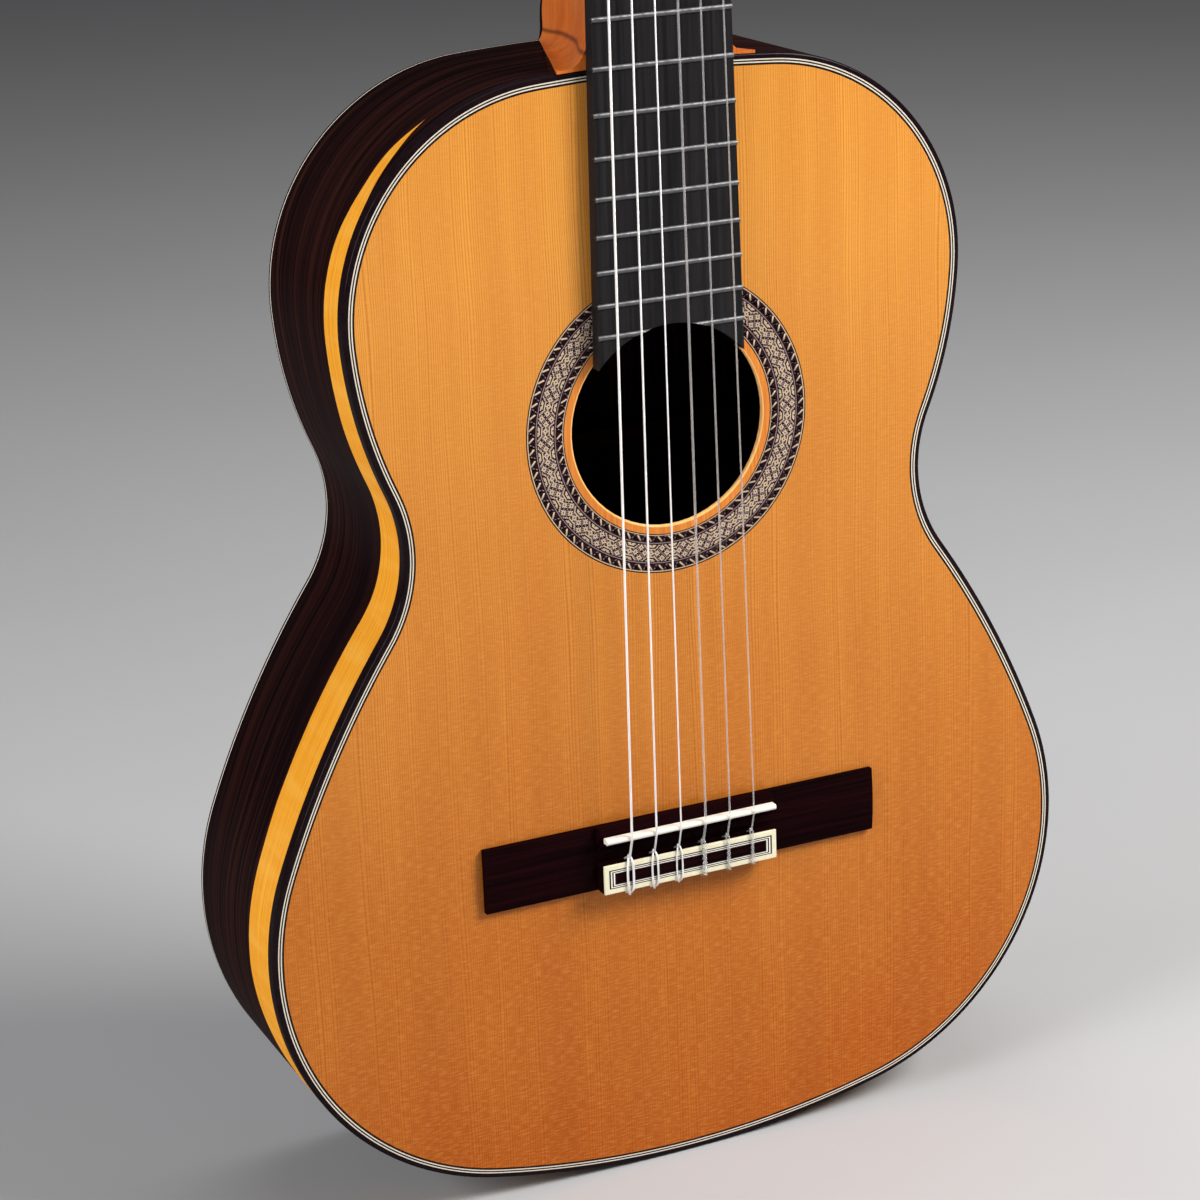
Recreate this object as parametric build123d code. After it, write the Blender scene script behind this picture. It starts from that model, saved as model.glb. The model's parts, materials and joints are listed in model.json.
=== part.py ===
from build123d import *
from math import acos, atan2, cos, hypot, pi, radians, sin, tan
import os

# Classical guitar with a slotted headstock, in millimetres.
#
# It is drawn in the bridge frame: X towards the treble side, Y from the soundboard towards the
# back, Z up the neck, with the origin on the soundboard's face under the saddle.
# save() moves every piece to the row frame, whose origin is where a wall hanger's yoke carries
# the neck, just below the headstock.

# ---- strings and scale ----
SCALE = 650.0
BODY_JOINT_Z = SCALE / 2
STRING_RADIUS = {6: 0.55, 5: 0.45, 4: 0.37, 3: 0.51, 2: 0.41, 1: 0.36}
BRIDGE_SPACING = 11.7
NUT_SPACING = 8.6
NUT_ACTION = 7.0
SADDLE_ACTION = 12.0

# ---- sound box ----
TAIL_Z = -161.0
BODY_LENGTH = BODY_JOINT_Z - TAIL_Z
# half outline from the tail to the neck: radius of each arc (negative where it is hollow) and
# the angle that it turns through; the first and last radii follow from the body length
INNER_RADII = [120.2, 434.0, -62.1, 185.3, 92.8]
ARC_TURNS = [12.82, 98.17, 13.91, -58.27, 19.74, 89.52, 4.11]
BACK_RADIUS = 7000.0
BACK_PEAK_Z = -110.0
BACK_DEPTH = 98.0
RIB_THICKNESS = 2.3
TOP_THICKNESS = 2.4
BACK_THICKNESS = 2.6
BINDING_HEIGHT = 6.0
PURFLING_WIDTH = 2.5
BACK_PURFLING_WIDTH = 1.5
INLAY_DEPTH = 1.5
LINING_WIDTH = 5.0
LINING_HEIGHT = 15.0
BACK_STRIP_WIDTH = 6.0
TAIL_STRIP_WIDTH = 9.0
TAIL_BLOCK = (30.0, 18.0)
BRACE_HALF_LENGTH = 105.0
BRACE_HEIGHT = 5.0
BRACE_SPACING = 26.0
BRACE_FAN = 3.6
BRACE_Z = -14.0
HARMONIC_BAR_Z = [118.0, 236.0]
HARMONIC_BAR = (6.0, 14.6)
BACK_BAR_Z = [262.0, 150.0, 30.0, -80.0]
BACK_BAR = (8.0, 14.0)
# limits that reach past the whole sound box
WIDE = (-300.0, 300.0)
LONG = (-300.0, 400.0)
DEEP = 130.0

# ---- soundhole ----
HOLE_Z = 175.5
HOLE_RADIUS = 43.7
ROSETTE_INNER = 47.4
ROSETTE_OUTER = 64.3

# ---- neck ----
BOARD_THICKNESS = 5.5
BOARD_NUT_HALF = 26.0
BOARD_JOINT_HALF = 31.2
BOARD_END_RADIUS = HOLE_RADIUS - 0.3
FRET_COUNT = 19
FRET_WIDTH = 2.2
FRET_HEIGHT = 1.0
TANG_WIDTH = 0.6
TANG_DEPTH = 2.0
NUT_THICKNESS = 5.0
NUT_HEIGHT = 7.9
NUT_ROUND = 1.2
NUT_SLOT_RISE = 0.15
NECK_DEPTH_NUT = 15.5
NECK_DEPTH_JOINT = 17.5
HEAD_START_Z = SCALE + NUT_THICKNESS
HEAD_ANGLE = 15.0
HEAD_LENGTH = 190.0
HEAD_THICKNESS = 20.0
HEAD_HALF = 36.0
HEAD_SHOULDER_Z = 16.0
HEAD_CROWN_Z = 169.0
CROWN_BULGE = (17.0, 185.0)
HEAD_RAMP_Z = 34.0
VENEER = 2.5
SLOT_INNER = 9.0
SLOT_OUTER = 25.0
SLOT_START = 18.0
SLOT_END = 138.0
FOOT_HALF = 27.0
FOOT_END = (246.0, 18.0)
HEEL_CORE_HALF = 10.0
HEEL_CAP = 2.4
# sections of the heel parallel to the soundboard: depth, half width on the ribs, half width above
# its flared foot, and the tip's height above the body; the last one is at the heel cap
HEEL_FOOT = 8.0
HEEL_SECTIONS = [
    (0.0, 44.0, 31.0, 110.0),
    (10.0, 40.5, 28.5, 85.0),
    (24.0, 35.5, 22.5, 62.0),
    (42.0, 29.2, 16.5, 46.0),
    (64.0, 21.4, 13.8, 36.0),
]
HEEL_CAP_SECTION = (14.3, 13.3, 30.0)

# ---- bridge ----
BRIDGE_HALF = 93.2
BRIDGE_FRONT = 4.3
BRIDGE_BACK = -24.6
WING_HEIGHT = 3.2
BLOCK_HALF = 41.3
BLOCK_HEIGHT = 8.3
TIE_FRONT = -11.5
INLAY_HEIGHT = 1.2
SADDLE_HALF = 40.5
SADDLE_THICKNESS = 2.5
SADDLE_SLOT_DEPTH = 5.8
TIE_HOLE_HEIGHT = 4.7
TIE_HOLE_RADIUS = 1.0
WING_CROWN = 0.8

# ---- tuning machines, placed in the headstock frame ----
ROLLER_Z = [48.0, 83.0, 118.0]
ROLLER_Y = 10.0
ROLLER_RADIUS = 5.0
PIN_RADIUS = 2.9
BEARING_GAP = 0.1
OPEN_GAP = 0.4
PLATE_THICKNESS = 1.2
PLATE_Y = (2.0, 18.0)
PLATE_Z = (34.0, 138.0)
TEETH = 15
MODULE = 0.8
GEAR_X = 41.0
GEAR_THICKNESS = 3.5
GEAR_BORE = 2.4
GEAR_SCREW_HEAD = 2.7
TOOTH_DEDENDUM = 0.9
TOOTH_ADDENDUM = 0.7
TOOTH_ROOT_WIDTH = 2.6
TOOTH_TIP_WIDTH = 1.2
THREAD_ROOT_WIDTH = 1.24
THREAD_TIP_WIDTH = 0.54
WORM_PITCH_RADIUS = 2.6
WORM_SHAFT_RADIUS = 1.5
WORM_Y = (4.4, 15.6)
BRACKET_THICKNESS = 2.0
BRACKET_HALF = 2.6
BUTTON_Y = (24.0, 41.0)
# sections of the button: height over its foot and the two half widths
BUTTON_SECTIONS = [(0.0, 3.6, 3.2), (4.0, 4.6, 3.2), (11.0, 8.6, 4.4), (17.0, 6.4, 3.0)]
BUTTON_SOCKET = 10.0
SCREW_Z = [38.0, 66.0, 101.0, 134.0]
SCREW_RADIUS = 1.2
SCREW_HEAD = (2.4, 1.0)
SCREW_LENGTH = 9.0
SCREW_SLOT = 0.6
STRING_X = {6: 20.0, 5: 18.0, 4: 16.5, 3: 16.5, 2: 18.0, 1: 20.0}
COIL_TURNS = 5

os.makedirs("parts", exist_ok=True)

to_row = Pos(0, -NECK_DEPTH_NUT / 2, -HEAD_START_Z)
to_head = Pos(0, 0, HEAD_START_Z) * Rot(-HEAD_ANGLE, 0, 0)


def save(name, *pieces):
    """Write one node, as one solid or as a group of separate solids."""
    solids = [solid for piece in pieces for solid in (to_row * piece).solids()]
    shape = solids[0] if len(solids) == 1 else Compound(solids)
    export_step(shape, f"parts/{name}.step")


def span(x, y, z):
    """A box from three pairs of limits."""
    sizes = [high - low for low, high in (x, y, z)]
    return Pos(x[0], y[0], z[0]) * Box(*sizes, align=(Align.MIN, Align.MIN, Align.MIN))


def slab(face, front, back):
    """A face drawn in X and Z, made solid from y = front to y = back."""
    return extrude(Plane.XZ.offset(-front) * face, amount=front - back)


def rod(radius, start, end):
    """A round rod between two points."""
    line = Line(start, end)
    return extrude(Plane(origin=start, z_dir=line % 0) * Circle(radius), amount=line.length)


def on_side(side, piece):
    """A piece drawn on the treble side, or its mirror image on the bass side."""
    return piece if side > 0 else mirror(piece, about=Plane.YZ)


# ---------------------------------------------------------------- body outline


def outline_arcs():
    """Signed radius, start angle and end angle of each arc of the half outline."""
    ends = [0.0]
    for turn in ARC_TURNS:
        ends.append(ends[-1] + radians(turn))
    ends[-1] = pi
    spans = list(zip(ends, ends[1:]))
    run_x = [sin(b) - sin(a) for a, b in spans]
    run_z = [cos(a) - cos(b) for a, b in spans]
    rest_x = -sum(r * run for r, run in zip(INNER_RADII, run_x[1:]))
    rest_z = BODY_LENGTH - sum(r * run for r, run in zip(INNER_RADII, run_z[1:]))
    scale = run_x[0] * run_z[-1] - run_x[-1] * run_z[0]
    tail = (rest_x * run_z[-1] - run_x[-1] * rest_z) / scale
    shoulder = (run_x[0] * rest_z - rest_x * run_z[0]) / scale
    return [(r, a, b) for r, (a, b) in zip([tail, *INNER_RADII, shoulder], spans)]


def outline(inset):
    """The face inside the body outline, drawn in X and Z, at a distance inside its edge."""
    x, z = 0.0, TAIL_Z + inset
    right = []
    for radius, start, end in outline_arcs():
        radius -= inset
        mid = (start + end) / 2
        points = [
            (x + radius * (sin(angle) - sin(start)), z + radius * (cos(start) - cos(angle)))
            for angle in (start, mid, end)
        ]
        if end == pi:
            points[-1] = (0.0, BODY_JOINT_Z - inset)
        right.append(ThreePointArc(*points))
        x, z = points[-1]
    left = [mirror(arc, about=Plane.YZ) for arc in right]
    return make_face(Curve() + right + left)


def dome(depth):
    """The ball whose surface lies at a depth under the outside of the domed back."""
    radius = BACK_RADIUS - depth
    return Pos(0, BACK_DEPTH - BACK_RADIUS, BACK_PEAK_Z) * Sphere(radius)


def edge_ring(outer, inner, front, back):
    """A strip that follows the body's edge between two insets."""
    return slab(outline(outer) - outline(inner), front, back)


def under_dome(piece, top, bottom):
    """What lies between two depths under the outside of the back."""
    return (piece & dome(top)) - dome(bottom)


# ---------------------------------------------------------------- sound box

binding_inner = RIB_THICKNESS
purfling_inner = binding_inner + PURFLING_WIDTH
hole_disc = slab(Pos(0, HOLE_Z) * Circle(HOLE_RADIUS), -1, TOP_THICKNESS + 1)
rosette_ring = Pos(0, HOLE_Z) * (Circle(ROSETTE_OUTER) - Circle(ROSETTE_INNER))
rosette = slab(rosette_ring, 0, INLAY_DEPTH)

top_upper = slab(outline(purfling_inner), 0, INLAY_DEPTH)
top_lower = slab(outline(binding_inner), INLAY_DEPTH, TOP_THICKNESS)
save("soundboard", top_upper + top_lower - hole_disc - rosette)
save("rosette", rosette)
save("top_purfling", edge_ring(binding_inner, purfling_inner, 0, INLAY_DEPTH))
save("top_binding", edge_ring(0, binding_inner, 0, BINDING_HEIGHT))

back_prism = slab(outline(binding_inner), BACK_DEPTH / 2, DEEP)
back_inner = slab(outline(binding_inner + BACK_PURFLING_WIDTH), BACK_DEPTH / 2, DEEP)
back_plate = under_dome(back_inner, 0, INLAY_DEPTH)
back_plate += under_dome(back_prism, INLAY_DEPTH, BACK_THICKNESS)
centre_joint = span((-BACK_STRIP_WIDTH / 2, BACK_STRIP_WIDTH / 2), (0, DEEP), LONG)
bass_half = span((WIDE[0], 0), (0, DEEP), LONG)
treble_half = span((0, WIDE[1]), (0, DEEP), LONG)
back_leaves = back_plate - centre_joint
save("back_bass", back_leaves & bass_half)
save("back_treble", back_leaves & treble_half)
save("back_strip", back_plate & centre_joint)
back_edge = edge_ring(binding_inner, binding_inner + BACK_PURFLING_WIDTH, BACK_DEPTH / 2, DEEP)
save("back_purfling", under_dome(back_edge, 0, INLAY_DEPTH))
back_rim = edge_ring(0, binding_inner, BACK_DEPTH / 2, DEEP)
save("back_binding", under_dome(back_rim, 0, BINDING_HEIGHT))

ribs = edge_ring(0, RIB_THICKNESS, BINDING_HEIGHT, DEEP) & dome(BINDING_HEIGHT)
heel_core = span((-HEEL_CORE_HALF, HEEL_CORE_HALF), (BINDING_HEIGHT, DEEP), (HOLE_Z, LONG[1]))
tail_gap = span((-TAIL_STRIP_WIDTH / 2, TAIL_STRIP_WIDTH / 2), (0, DEEP), (LONG[0], 0))
ribs_cut = ribs - heel_core - tail_gap
save("side_bass", ribs_cut & bass_half)
save("side_treble", ribs_cut & treble_half)
save("tail_strip", ribs & tail_gap)

# inside the sound box
inside = slab(outline(RIB_THICKNESS), TOP_THICKNESS, DEEP) & dome(BACK_THICKNESS)
tail_half, tail_reach = TAIL_BLOCK
tail_block_end = TAIL_Z + RIB_THICKNESS + tail_reach
tail_block = inside & span((-tail_half, tail_half), (0, DEEP), (LONG[0], tail_block_end))
save("tail_block", tail_block)
toe_end, toe_depth = FOOT_END
front_block = inside & span((-FOOT_HALF, FOOT_HALF), (0, DEEP), (BODY_JOINT_Z - 25, LONG[1]))
foot_toe = span((-FOOT_HALF, FOOT_HALF), (TOP_THICKNESS, toe_depth), (toe_end, BODY_JOINT_Z - 25))
lining_inner = RIB_THICKNESS + LINING_WIDTH
lining_ring = edge_ring(RIB_THICKNESS, lining_inner, TOP_THICKNESS, DEEP)
top_lining = lining_ring & span(WIDE, (0, TOP_THICKNESS + LINING_HEIGHT), LONG)
back_lining = under_dome(lining_ring, BACK_THICKNESS, BACK_THICKNESS + LINING_HEIGHT)
save("linings", top_lining - tail_block - front_block, back_lining - tail_block - front_block)


def fan_brace(number):
    """One of the seven thin bars that fan out under the bridge."""
    section = Polygon((-3, 0), (3, 0), (1, BRACE_HEIGHT), (-1, BRACE_HEIGHT), align=None)
    bar = extrude(Plane.XY.offset(-BRACE_HALF_LENGTH) * section, 2 * BRACE_HALF_LENGTH)
    return Pos(BRACE_SPACING * number, TOP_THICKNESS, BRACE_Z) * Rot(0, -BRACE_FAN * number, 0) * bar


save("fan_braces", *[fan_brace(number) for number in range(-3, 4)])

room = slab(outline(lining_inner), TOP_THICKNESS, DEEP)


def cross_bar(z, width, front, back):
    """A bar across the sound box, from lining to lining."""
    return room & span(WIDE, (front, back), (z - width / 2, z + width / 2))


bar_width, bar_depth = HARMONIC_BAR
save("harmonic_bars", *[
    cross_bar(z, bar_width, 0, TOP_THICKNESS + bar_depth) for z in HARMONIC_BAR_Z
])
bar_width, bar_depth = BACK_BAR
save("back_braces", *[
    under_dome(cross_bar(z, bar_width, BACK_DEPTH / 2, DEEP), BACK_THICKNESS, BACK_THICKNESS + bar_depth)
    for z in BACK_BAR_Z
])

# ---------------------------------------------------------------- neck


def board_half(z):
    """Half width of the fingerboard and neck at a height."""
    slope = (BOARD_JOINT_HALF - BOARD_NUT_HALF) / BODY_JOINT_Z
    return BOARD_NUT_HALF + (SCALE - z) * slope


def fret_z(number):
    """Height of a fret, by equal temperament."""
    return SCALE * 2 ** (-number / 12)


board_low = HOLE_Z
half_low = board_half(board_low)
board_plan = Polygon(
    (-half_low, board_low), (half_low, board_low), (BOARD_NUT_HALF, SCALE), (-BOARD_NUT_HALF, SCALE),
    align=None,
)
board_plan -= Pos(0, HOLE_Z) * Circle(BOARD_END_RADIUS)
board = slab(board_plan, -BOARD_THICKNESS, 0)
board_end = slab(Pos(0, HOLE_Z) * Circle(BOARD_END_RADIUS), -20, 1)
tangs = Part()
crowns = []
for number in range(1, FRET_COUNT + 1):
    z = fret_z(number)
    half = board_half(z)
    slot = (z - TANG_WIDTH / 2, z + TANG_WIDTH / 2)
    tang = span((-half, half), (-BOARD_THICKNESS, TANG_DEPTH - BOARD_THICKNESS), slot)
    crown_face = Ellipse(FRET_HEIGHT, FRET_WIDTH / 2) & Pos(-5, 0) * Rectangle(10, 10)
    crown = extrude(Plane.YZ.offset(-half) * (Pos(-BOARD_THICKNESS, z) * crown_face), amount=2 * half)
    tangs += tang
    crowns.append((crown + tang) - board_end)
save("fingerboard", board - tangs)
save("frets", *crowns)

string_numbers = list(STRING_RADIUS)


def string_x(number, spacing):
    """Sideways place of a string where the strings lie a spacing apart."""
    return (3.5 - number) * spacing


nut_half = BOARD_NUT_HALF
nut = span((-nut_half, nut_half), (-NUT_HEIGHT, 0), (SCALE, HEAD_START_Z))
nut = fillet(nut.edges().filter_by(Axis.X).group_by(Axis.Y)[0], NUT_ROUND)
for number, radius in STRING_RADIUS.items():
    x = string_x(number, NUT_SPACING)
    reach = radius + 0.05
    groove = (-NUT_HEIGHT - 1, NUT_SLOT_RISE - NUT_ACTION)
    nut -= span((x - reach, x + reach), groove, (SCALE - 1, HEAD_START_Z + 1))
save("nut", nut)


def neck_section(z, half, depth):
    """The D-shaped cross-section of the neck."""
    curve = EllipticalCenterArc((0, 0), half, depth, start_angle=0, arc_size=180)
    return Plane.XY.offset(z) * make_face(Curve() + [curve, Line((-half, 0), (half, 0))])


body_prism = slab(outline(0), -1, DEEP)
shaft = loft([
    neck_section(BODY_JOINT_Z - 5, board_half(BODY_JOINT_Z - 5), NECK_DEPTH_JOINT),
    neck_section(HEAD_START_Z, BOARD_NUT_HALF, NECK_DEPTH_NUT),
])
shaft -= body_prism


def half_crest():
    """Right half of the headstock's outline, from the nut to its crest."""
    shoulder = (HEAD_HALF - 3, HEAD_SHOULDER_Z)
    side_low = (HEAD_HALF, HEAD_SHOULDER_Z + 6)
    side_high = (HEAD_HALF, HEAD_CROWN_Z - 9)
    crown = (HEAD_HALF - 7, HEAD_CROWN_Z)
    return [
        ThreePointArc((BOARD_NUT_HALF, 0), (BOARD_NUT_HALF + 2.5, 9), shoulder),
        ThreePointArc(shoulder, (HEAD_HALF - 0.8, HEAD_SHOULDER_Z + 2.4), side_low),
        Line(side_low, side_high),
        ThreePointArc(side_high, (HEAD_HALF - 1.6, HEAD_CROWN_Z - 3), crown),
        ThreePointArc(crown, CROWN_BULGE, (0, HEAD_LENGTH)),
    ]


crest = half_crest()
head_plan = make_face(Curve() + crest + [mirror(edge, about=Plane.YZ) for edge in crest]
                      + [Line((-BOARD_NUT_HALF, 0), (BOARD_NUT_HALF, 0))])
slot_plan = SlotOverall(SLOT_END - SLOT_START, SLOT_OUTER - SLOT_INNER, rotation=90)
slots = Part()
for side in (-1, 1):
    middle = side * (SLOT_INNER + SLOT_OUTER) / 2
    slots += slab(Pos(middle, (SLOT_START + SLOT_END) / 2) * slot_plan, -1, HEAD_THICKNESS + 8)
bearings = Part()
for side in (-1, 1):
    for z in ROLLER_Z:
        bearings += rod(PIN_RADIUS + BEARING_GAP, (side * 2.8, ROLLER_Y, z), (side * 12, ROLLER_Y, z))
        bearings += rod(ROLLER_RADIUS + OPEN_GAP, (side * 20, ROLLER_Y, z), (side * 50, ROLLER_Y, z))
    for z in SCREW_Z:
        tip = HEAD_HALF - SCREW_LENGTH
        bearings += rod(SCREW_RADIUS, (side * tip, ROLLER_Y, z), (side * 50, ROLLER_Y, z))

head_side = make_face(Polyline(
    (VENEER, 0), (VENEER, HEAD_LENGTH + 5), (HEAD_THICKNESS, HEAD_LENGTH + 5),
    (HEAD_THICKNESS, HEAD_RAMP_Z), (HEAD_THICKNESS - 1.5, HEAD_SHOULDER_Z), (NECK_DEPTH_NUT + 0.5, 0),
    close=True,
))
head_wood = slab(head_plan, 0, HEAD_THICKNESS) & extrude(Plane.YZ.offset(-60) * head_side, 120)
throat = span((-BOARD_NUT_HALF, BOARD_NUT_HALF), (0, NECK_DEPTH_NUT), (-4, 0)) - span(
    (-60, 60), (-30, VENEER), (0, 5)
)
throat_room = Rot(HEAD_ANGLE, 0, 0) * span((-60, 60), (0, 60), (-60, 0))
head_wood += throat & throat_room
veneer = to_head * (slab(head_plan, 0, VENEER) - slots)
save("head_veneer", veneer)
save("neck", shaft + to_head * (head_wood - slots - bearings) - veneer)


def heel_face(y, foot, waist, reach):
    """A section of the heel parallel to the soundboard: a flared foot, then a long round point."""
    rise = reach - HEEL_FOOT
    right = [
        (foot, BODY_JOINT_Z),
        (waist + (foot - waist) / 4, BODY_JOINT_Z + HEEL_FOOT / 3),
        (waist, BODY_JOINT_Z + HEEL_FOOT),
        (0.93 * waist, BODY_JOINT_Z + HEEL_FOOT + 0.4 * rise),
        (0.62 * waist, BODY_JOINT_Z + HEEL_FOOT + 0.8 * rise),
    ]
    left = [(-px, pz) for px, pz in reversed(right)]
    side = Spline(*right, (0, BODY_JOINT_Z + reach), *left)
    low = BODY_JOINT_Z - HEEL_FOOT
    base = Polyline((-foot, BODY_JOINT_Z), (-foot, low), (foot, low), (foot, BODY_JOINT_Z))
    return Plane.XZ.offset(-y) * make_face(Curve() + [side, base])


heel_end = BACK_DEPTH - (BODY_JOINT_Z - BACK_PEAK_Z) ** 2 / (2 * BACK_RADIUS)
heel_levels = [*HEEL_SECTIONS, (heel_end, *HEEL_CAP_SECTION)]
heel_shape = loft([heel_face(*level) for level in heel_levels])
heel_outer = heel_shape - body_prism - shaft
cap_line = heel_end - HEEL_CAP
heel_cap = heel_outer & span(WIDE, (cap_line, DEEP), (HOLE_Z, SCALE))
heel_top = heel_outer & span(WIDE, (0, cap_line), (HOLE_Z, SCALE))
core = heel_core & span(WIDE, (0, cap_line), (BODY_JOINT_Z - 5, BODY_JOINT_Z + 0.2))
core &= slab(outline(0), 0, DEEP) & dome(BINDING_HEIGHT)
save("heel", heel_top + core + front_block + foot_toe)
save("heel_cap", heel_cap)

# ---------------------------------------------------------------- bridge

profile = make_face(Polyline(
    (0, BRIDGE_FRONT), (-5.8, BRIDGE_FRONT), (-BLOCK_HEIGHT, 1.9), (-BLOCK_HEIGHT, -2.4),
    (-3.6, -6.4), (-3.6, TIE_FRONT), (-BLOCK_HEIGHT, TIE_FRONT), (-BLOCK_HEIGHT, BRIDGE_BACK),
    (0, BRIDGE_BACK), close=True,
))
block = extrude(Plane.YZ.offset(-BLOCK_HALF) * profile, 2 * BLOCK_HALF)
wing_edge = WING_CROWN - WING_HEIGHT
wing_middle = (BRIDGE_FRONT + BRIDGE_BACK) / 2
wing_section = make_face(Curve() + [
    Line((0, BRIDGE_FRONT), (0, BRIDGE_BACK)),
    Line((0, BRIDGE_BACK), (wing_edge, BRIDGE_BACK)),
    ThreePointArc((wing_edge, BRIDGE_BACK), (-WING_HEIGHT, wing_middle), (wing_edge, BRIDGE_FRONT)),
    Line((wing_edge, BRIDGE_FRONT), (0, BRIDGE_FRONT)),
])
wings = extrude(Plane.YZ.offset(-BRIDGE_HALF) * wing_section, 2 * BRIDGE_HALF)
saddle_half = SADDLE_THICKNESS / 2
saddle_low = BLOCK_HEIGHT - SADDLE_SLOT_DEPTH
crown_height = SADDLE_ACTION - saddle_half
saddle = span((-SADDLE_HALF, SADDLE_HALF), (-crown_height, -saddle_low), (-saddle_half, saddle_half))
saddle += rod(saddle_half, (-SADDLE_HALF, -crown_height, 0), (SADDLE_HALF, -crown_height, 0))
tie_holes = Part()
for number in string_numbers:
    x = string_x(number, BRIDGE_SPACING)
    front = (x, -TIE_HOLE_HEIGHT, TIE_FRONT + 1)
    tie_holes += rod(TIE_HOLE_RADIUS, front, (x, -TIE_HOLE_HEIGHT, BRIDGE_BACK - 1))
save("bridge", block + wings - saddle - tie_holes)
save("saddle", saddle)
inlay = span(
    (-BLOCK_HALF, BLOCK_HALF), (-BLOCK_HEIGHT - INLAY_HEIGHT, -BLOCK_HEIGHT), (BRIDGE_BACK, TIE_FRONT)
)
save("tie_block_inlay", inlay)

# ---------------------------------------------------------------- strings


def roller_touch(number, radius):
    """Where a string ends, just clear of its roller, in the headstock frame."""
    nut_y = -(NUT_ACTION + radius) * cos(radians(HEAD_ANGLE))
    nut_z = -(NUT_ACTION + radius) * sin(radians(HEAD_ANGLE))
    place = 6 - number if number > 3 else number - 1
    run = ROLLER_Z[place] - nut_z
    drop = ROLLER_Y - nut_y
    reach = ROLLER_RADIUS + 0.3 + radius
    angle = atan2(-drop, -run) + acos(reach / hypot(run, drop))
    return ROLLER_Z[place] + reach * cos(angle), ROLLER_Y + reach * sin(angle)


def make_string(number, radius):
    """A string from its tied loop, through the tie block, over saddle and nut to its roller."""
    side = -1 if number > 3 else 1
    x = string_x(number, BRIDGE_SPACING)
    nut_x = string_x(number, NUT_SPACING)
    end_z, end_y = roller_touch(number, radius)
    end = to_head * Pos(side * STRING_X[number], end_y, end_z)
    saddle_bend = saddle_half + radius + 0.02
    top = -(crown_height + saddle_bend)
    over = -(BLOCK_HEIGHT + INLAY_HEIGHT + radius + 0.1)
    behind = BRIDGE_BACK - radius - 0.3
    before = TIE_FRONT + radius + 0.3
    points = [
        (x, -7.2, before),
        (x, over, before),
        (x, over, behind),
        (x, -TIE_HOLE_HEIGHT, behind),
        (x, -TIE_HOLE_HEIGHT, TIE_FRONT + 0.4),
        (x, top, -saddle_bend * tan(radians(18))),
        (nut_x, -(NUT_ACTION + radius), HEAD_START_Z - 0.1),
        tuple(end.position),
    ]
    path = FilletPolyline(*points, radius=[1.2, 1.2, 1.2, 1.5, saddle_bend, 3.0])
    start = Plane(origin=path @ 0, z_dir=path % 0)
    return sweep(start * Circle(radius), path=path)


for number, radius in STRING_RADIUS.items():
    save(f"string_{number}", make_string(number, radius))

# ---------------------------------------------------------------- tuning machines

gear_pitch = MODULE * TEETH / 2
axis_distance = gear_pitch + WORM_PITCH_RADIUS
gear_root = gear_pitch - TOOTH_DEDENDUM
gear_tip = gear_pitch + TOOTH_ADDENDUM
worm_root = WORM_PITCH_RADIUS - TOOTH_DEDENDUM
worm_tip = WORM_PITCH_RADIUS + TOOTH_ADDENDUM
worm_pitch = pi * MODULE
plate_out = HEAD_HALF + PLATE_THICKNESS


def gear_plan():
    """A worm wheel with a tooth gap at its top."""
    root, tip = TOOTH_ROOT_WIDTH / 2, TOOTH_TIP_WIDTH / 2
    points = []
    for tooth in range(TEETH):
        middle = pi / 2 + (tooth + 0.5) * 2 * pi / TEETH
        for radius, reach in ((gear_root, -root), (gear_tip, -tip), (gear_tip, tip), (gear_root, root)):
            angle = middle + reach / 2 / radius
            points.append((radius * cos(angle), radius * sin(angle)))
    return make_face(Polyline(*points, close=True))


def make_gear(side, z):
    """Worm wheel with its boss and its fixing screw."""
    inner = GEAR_X - GEAR_THICKNESS / 2
    outer = GEAR_X + GEAR_THICKNESS / 2
    wheel = extrude(Plane.YZ.offset(inner) * gear_plan(), GEAR_THICKNESS)
    boss = rod(4.0, (plate_out + 0.3, 0, 0), (inner, 0, 0))
    bore = rod(GEAR_BORE, (plate_out, 0, 0), (outer + 1, 0, 0))
    wheel = wheel + boss - bore
    head = rod(GEAR_SCREW_HEAD, (outer, 0, 0), (outer + 1.2, 0, 0))
    head -= span((outer + 0.7, outer + 2), (-3, 3), (-SCREW_SLOT / 2, SCREW_SLOT / 2))
    return [Pos(0, ROLLER_Y, z) * on_side(side, piece) for piece in (wheel, head)]


def make_roller():
    """Roller with its end pin, its bearing and the stub that carries the gear."""
    body = rod(PIN_RADIUS, (3.2, 0, 0), (SLOT_INNER + 0.4, 0, 0))
    body += rod(ROLLER_RADIUS, (SLOT_INNER + 0.4, 0, 0), (HEAD_HALF - 0.4, 0, 0))
    body += rod(PIN_RADIUS, (HEAD_HALF - 0.4, 0, 0), (plate_out + 0.3, 0, 0))
    body += rod(GEAR_BORE, (plate_out + 0.3, 0, 0), (GEAR_X + GEAR_THICKNESS / 2, 0, 0))
    return body


def make_coil(x, radius):
    """The wound turns of a string, as one sleeve round the roller."""
    outer = x - radius - OPEN_GAP
    inner = outer - 2 * radius * COIL_TURNS
    sleeve = rod(ROLLER_RADIUS + 2 * radius, (inner, 0, 0), (outer, 0, 0))
    return sleeve - rod(ROLLER_RADIUS, (inner - 1, 0, 0), (outer + 1, 0, 0))


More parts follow.
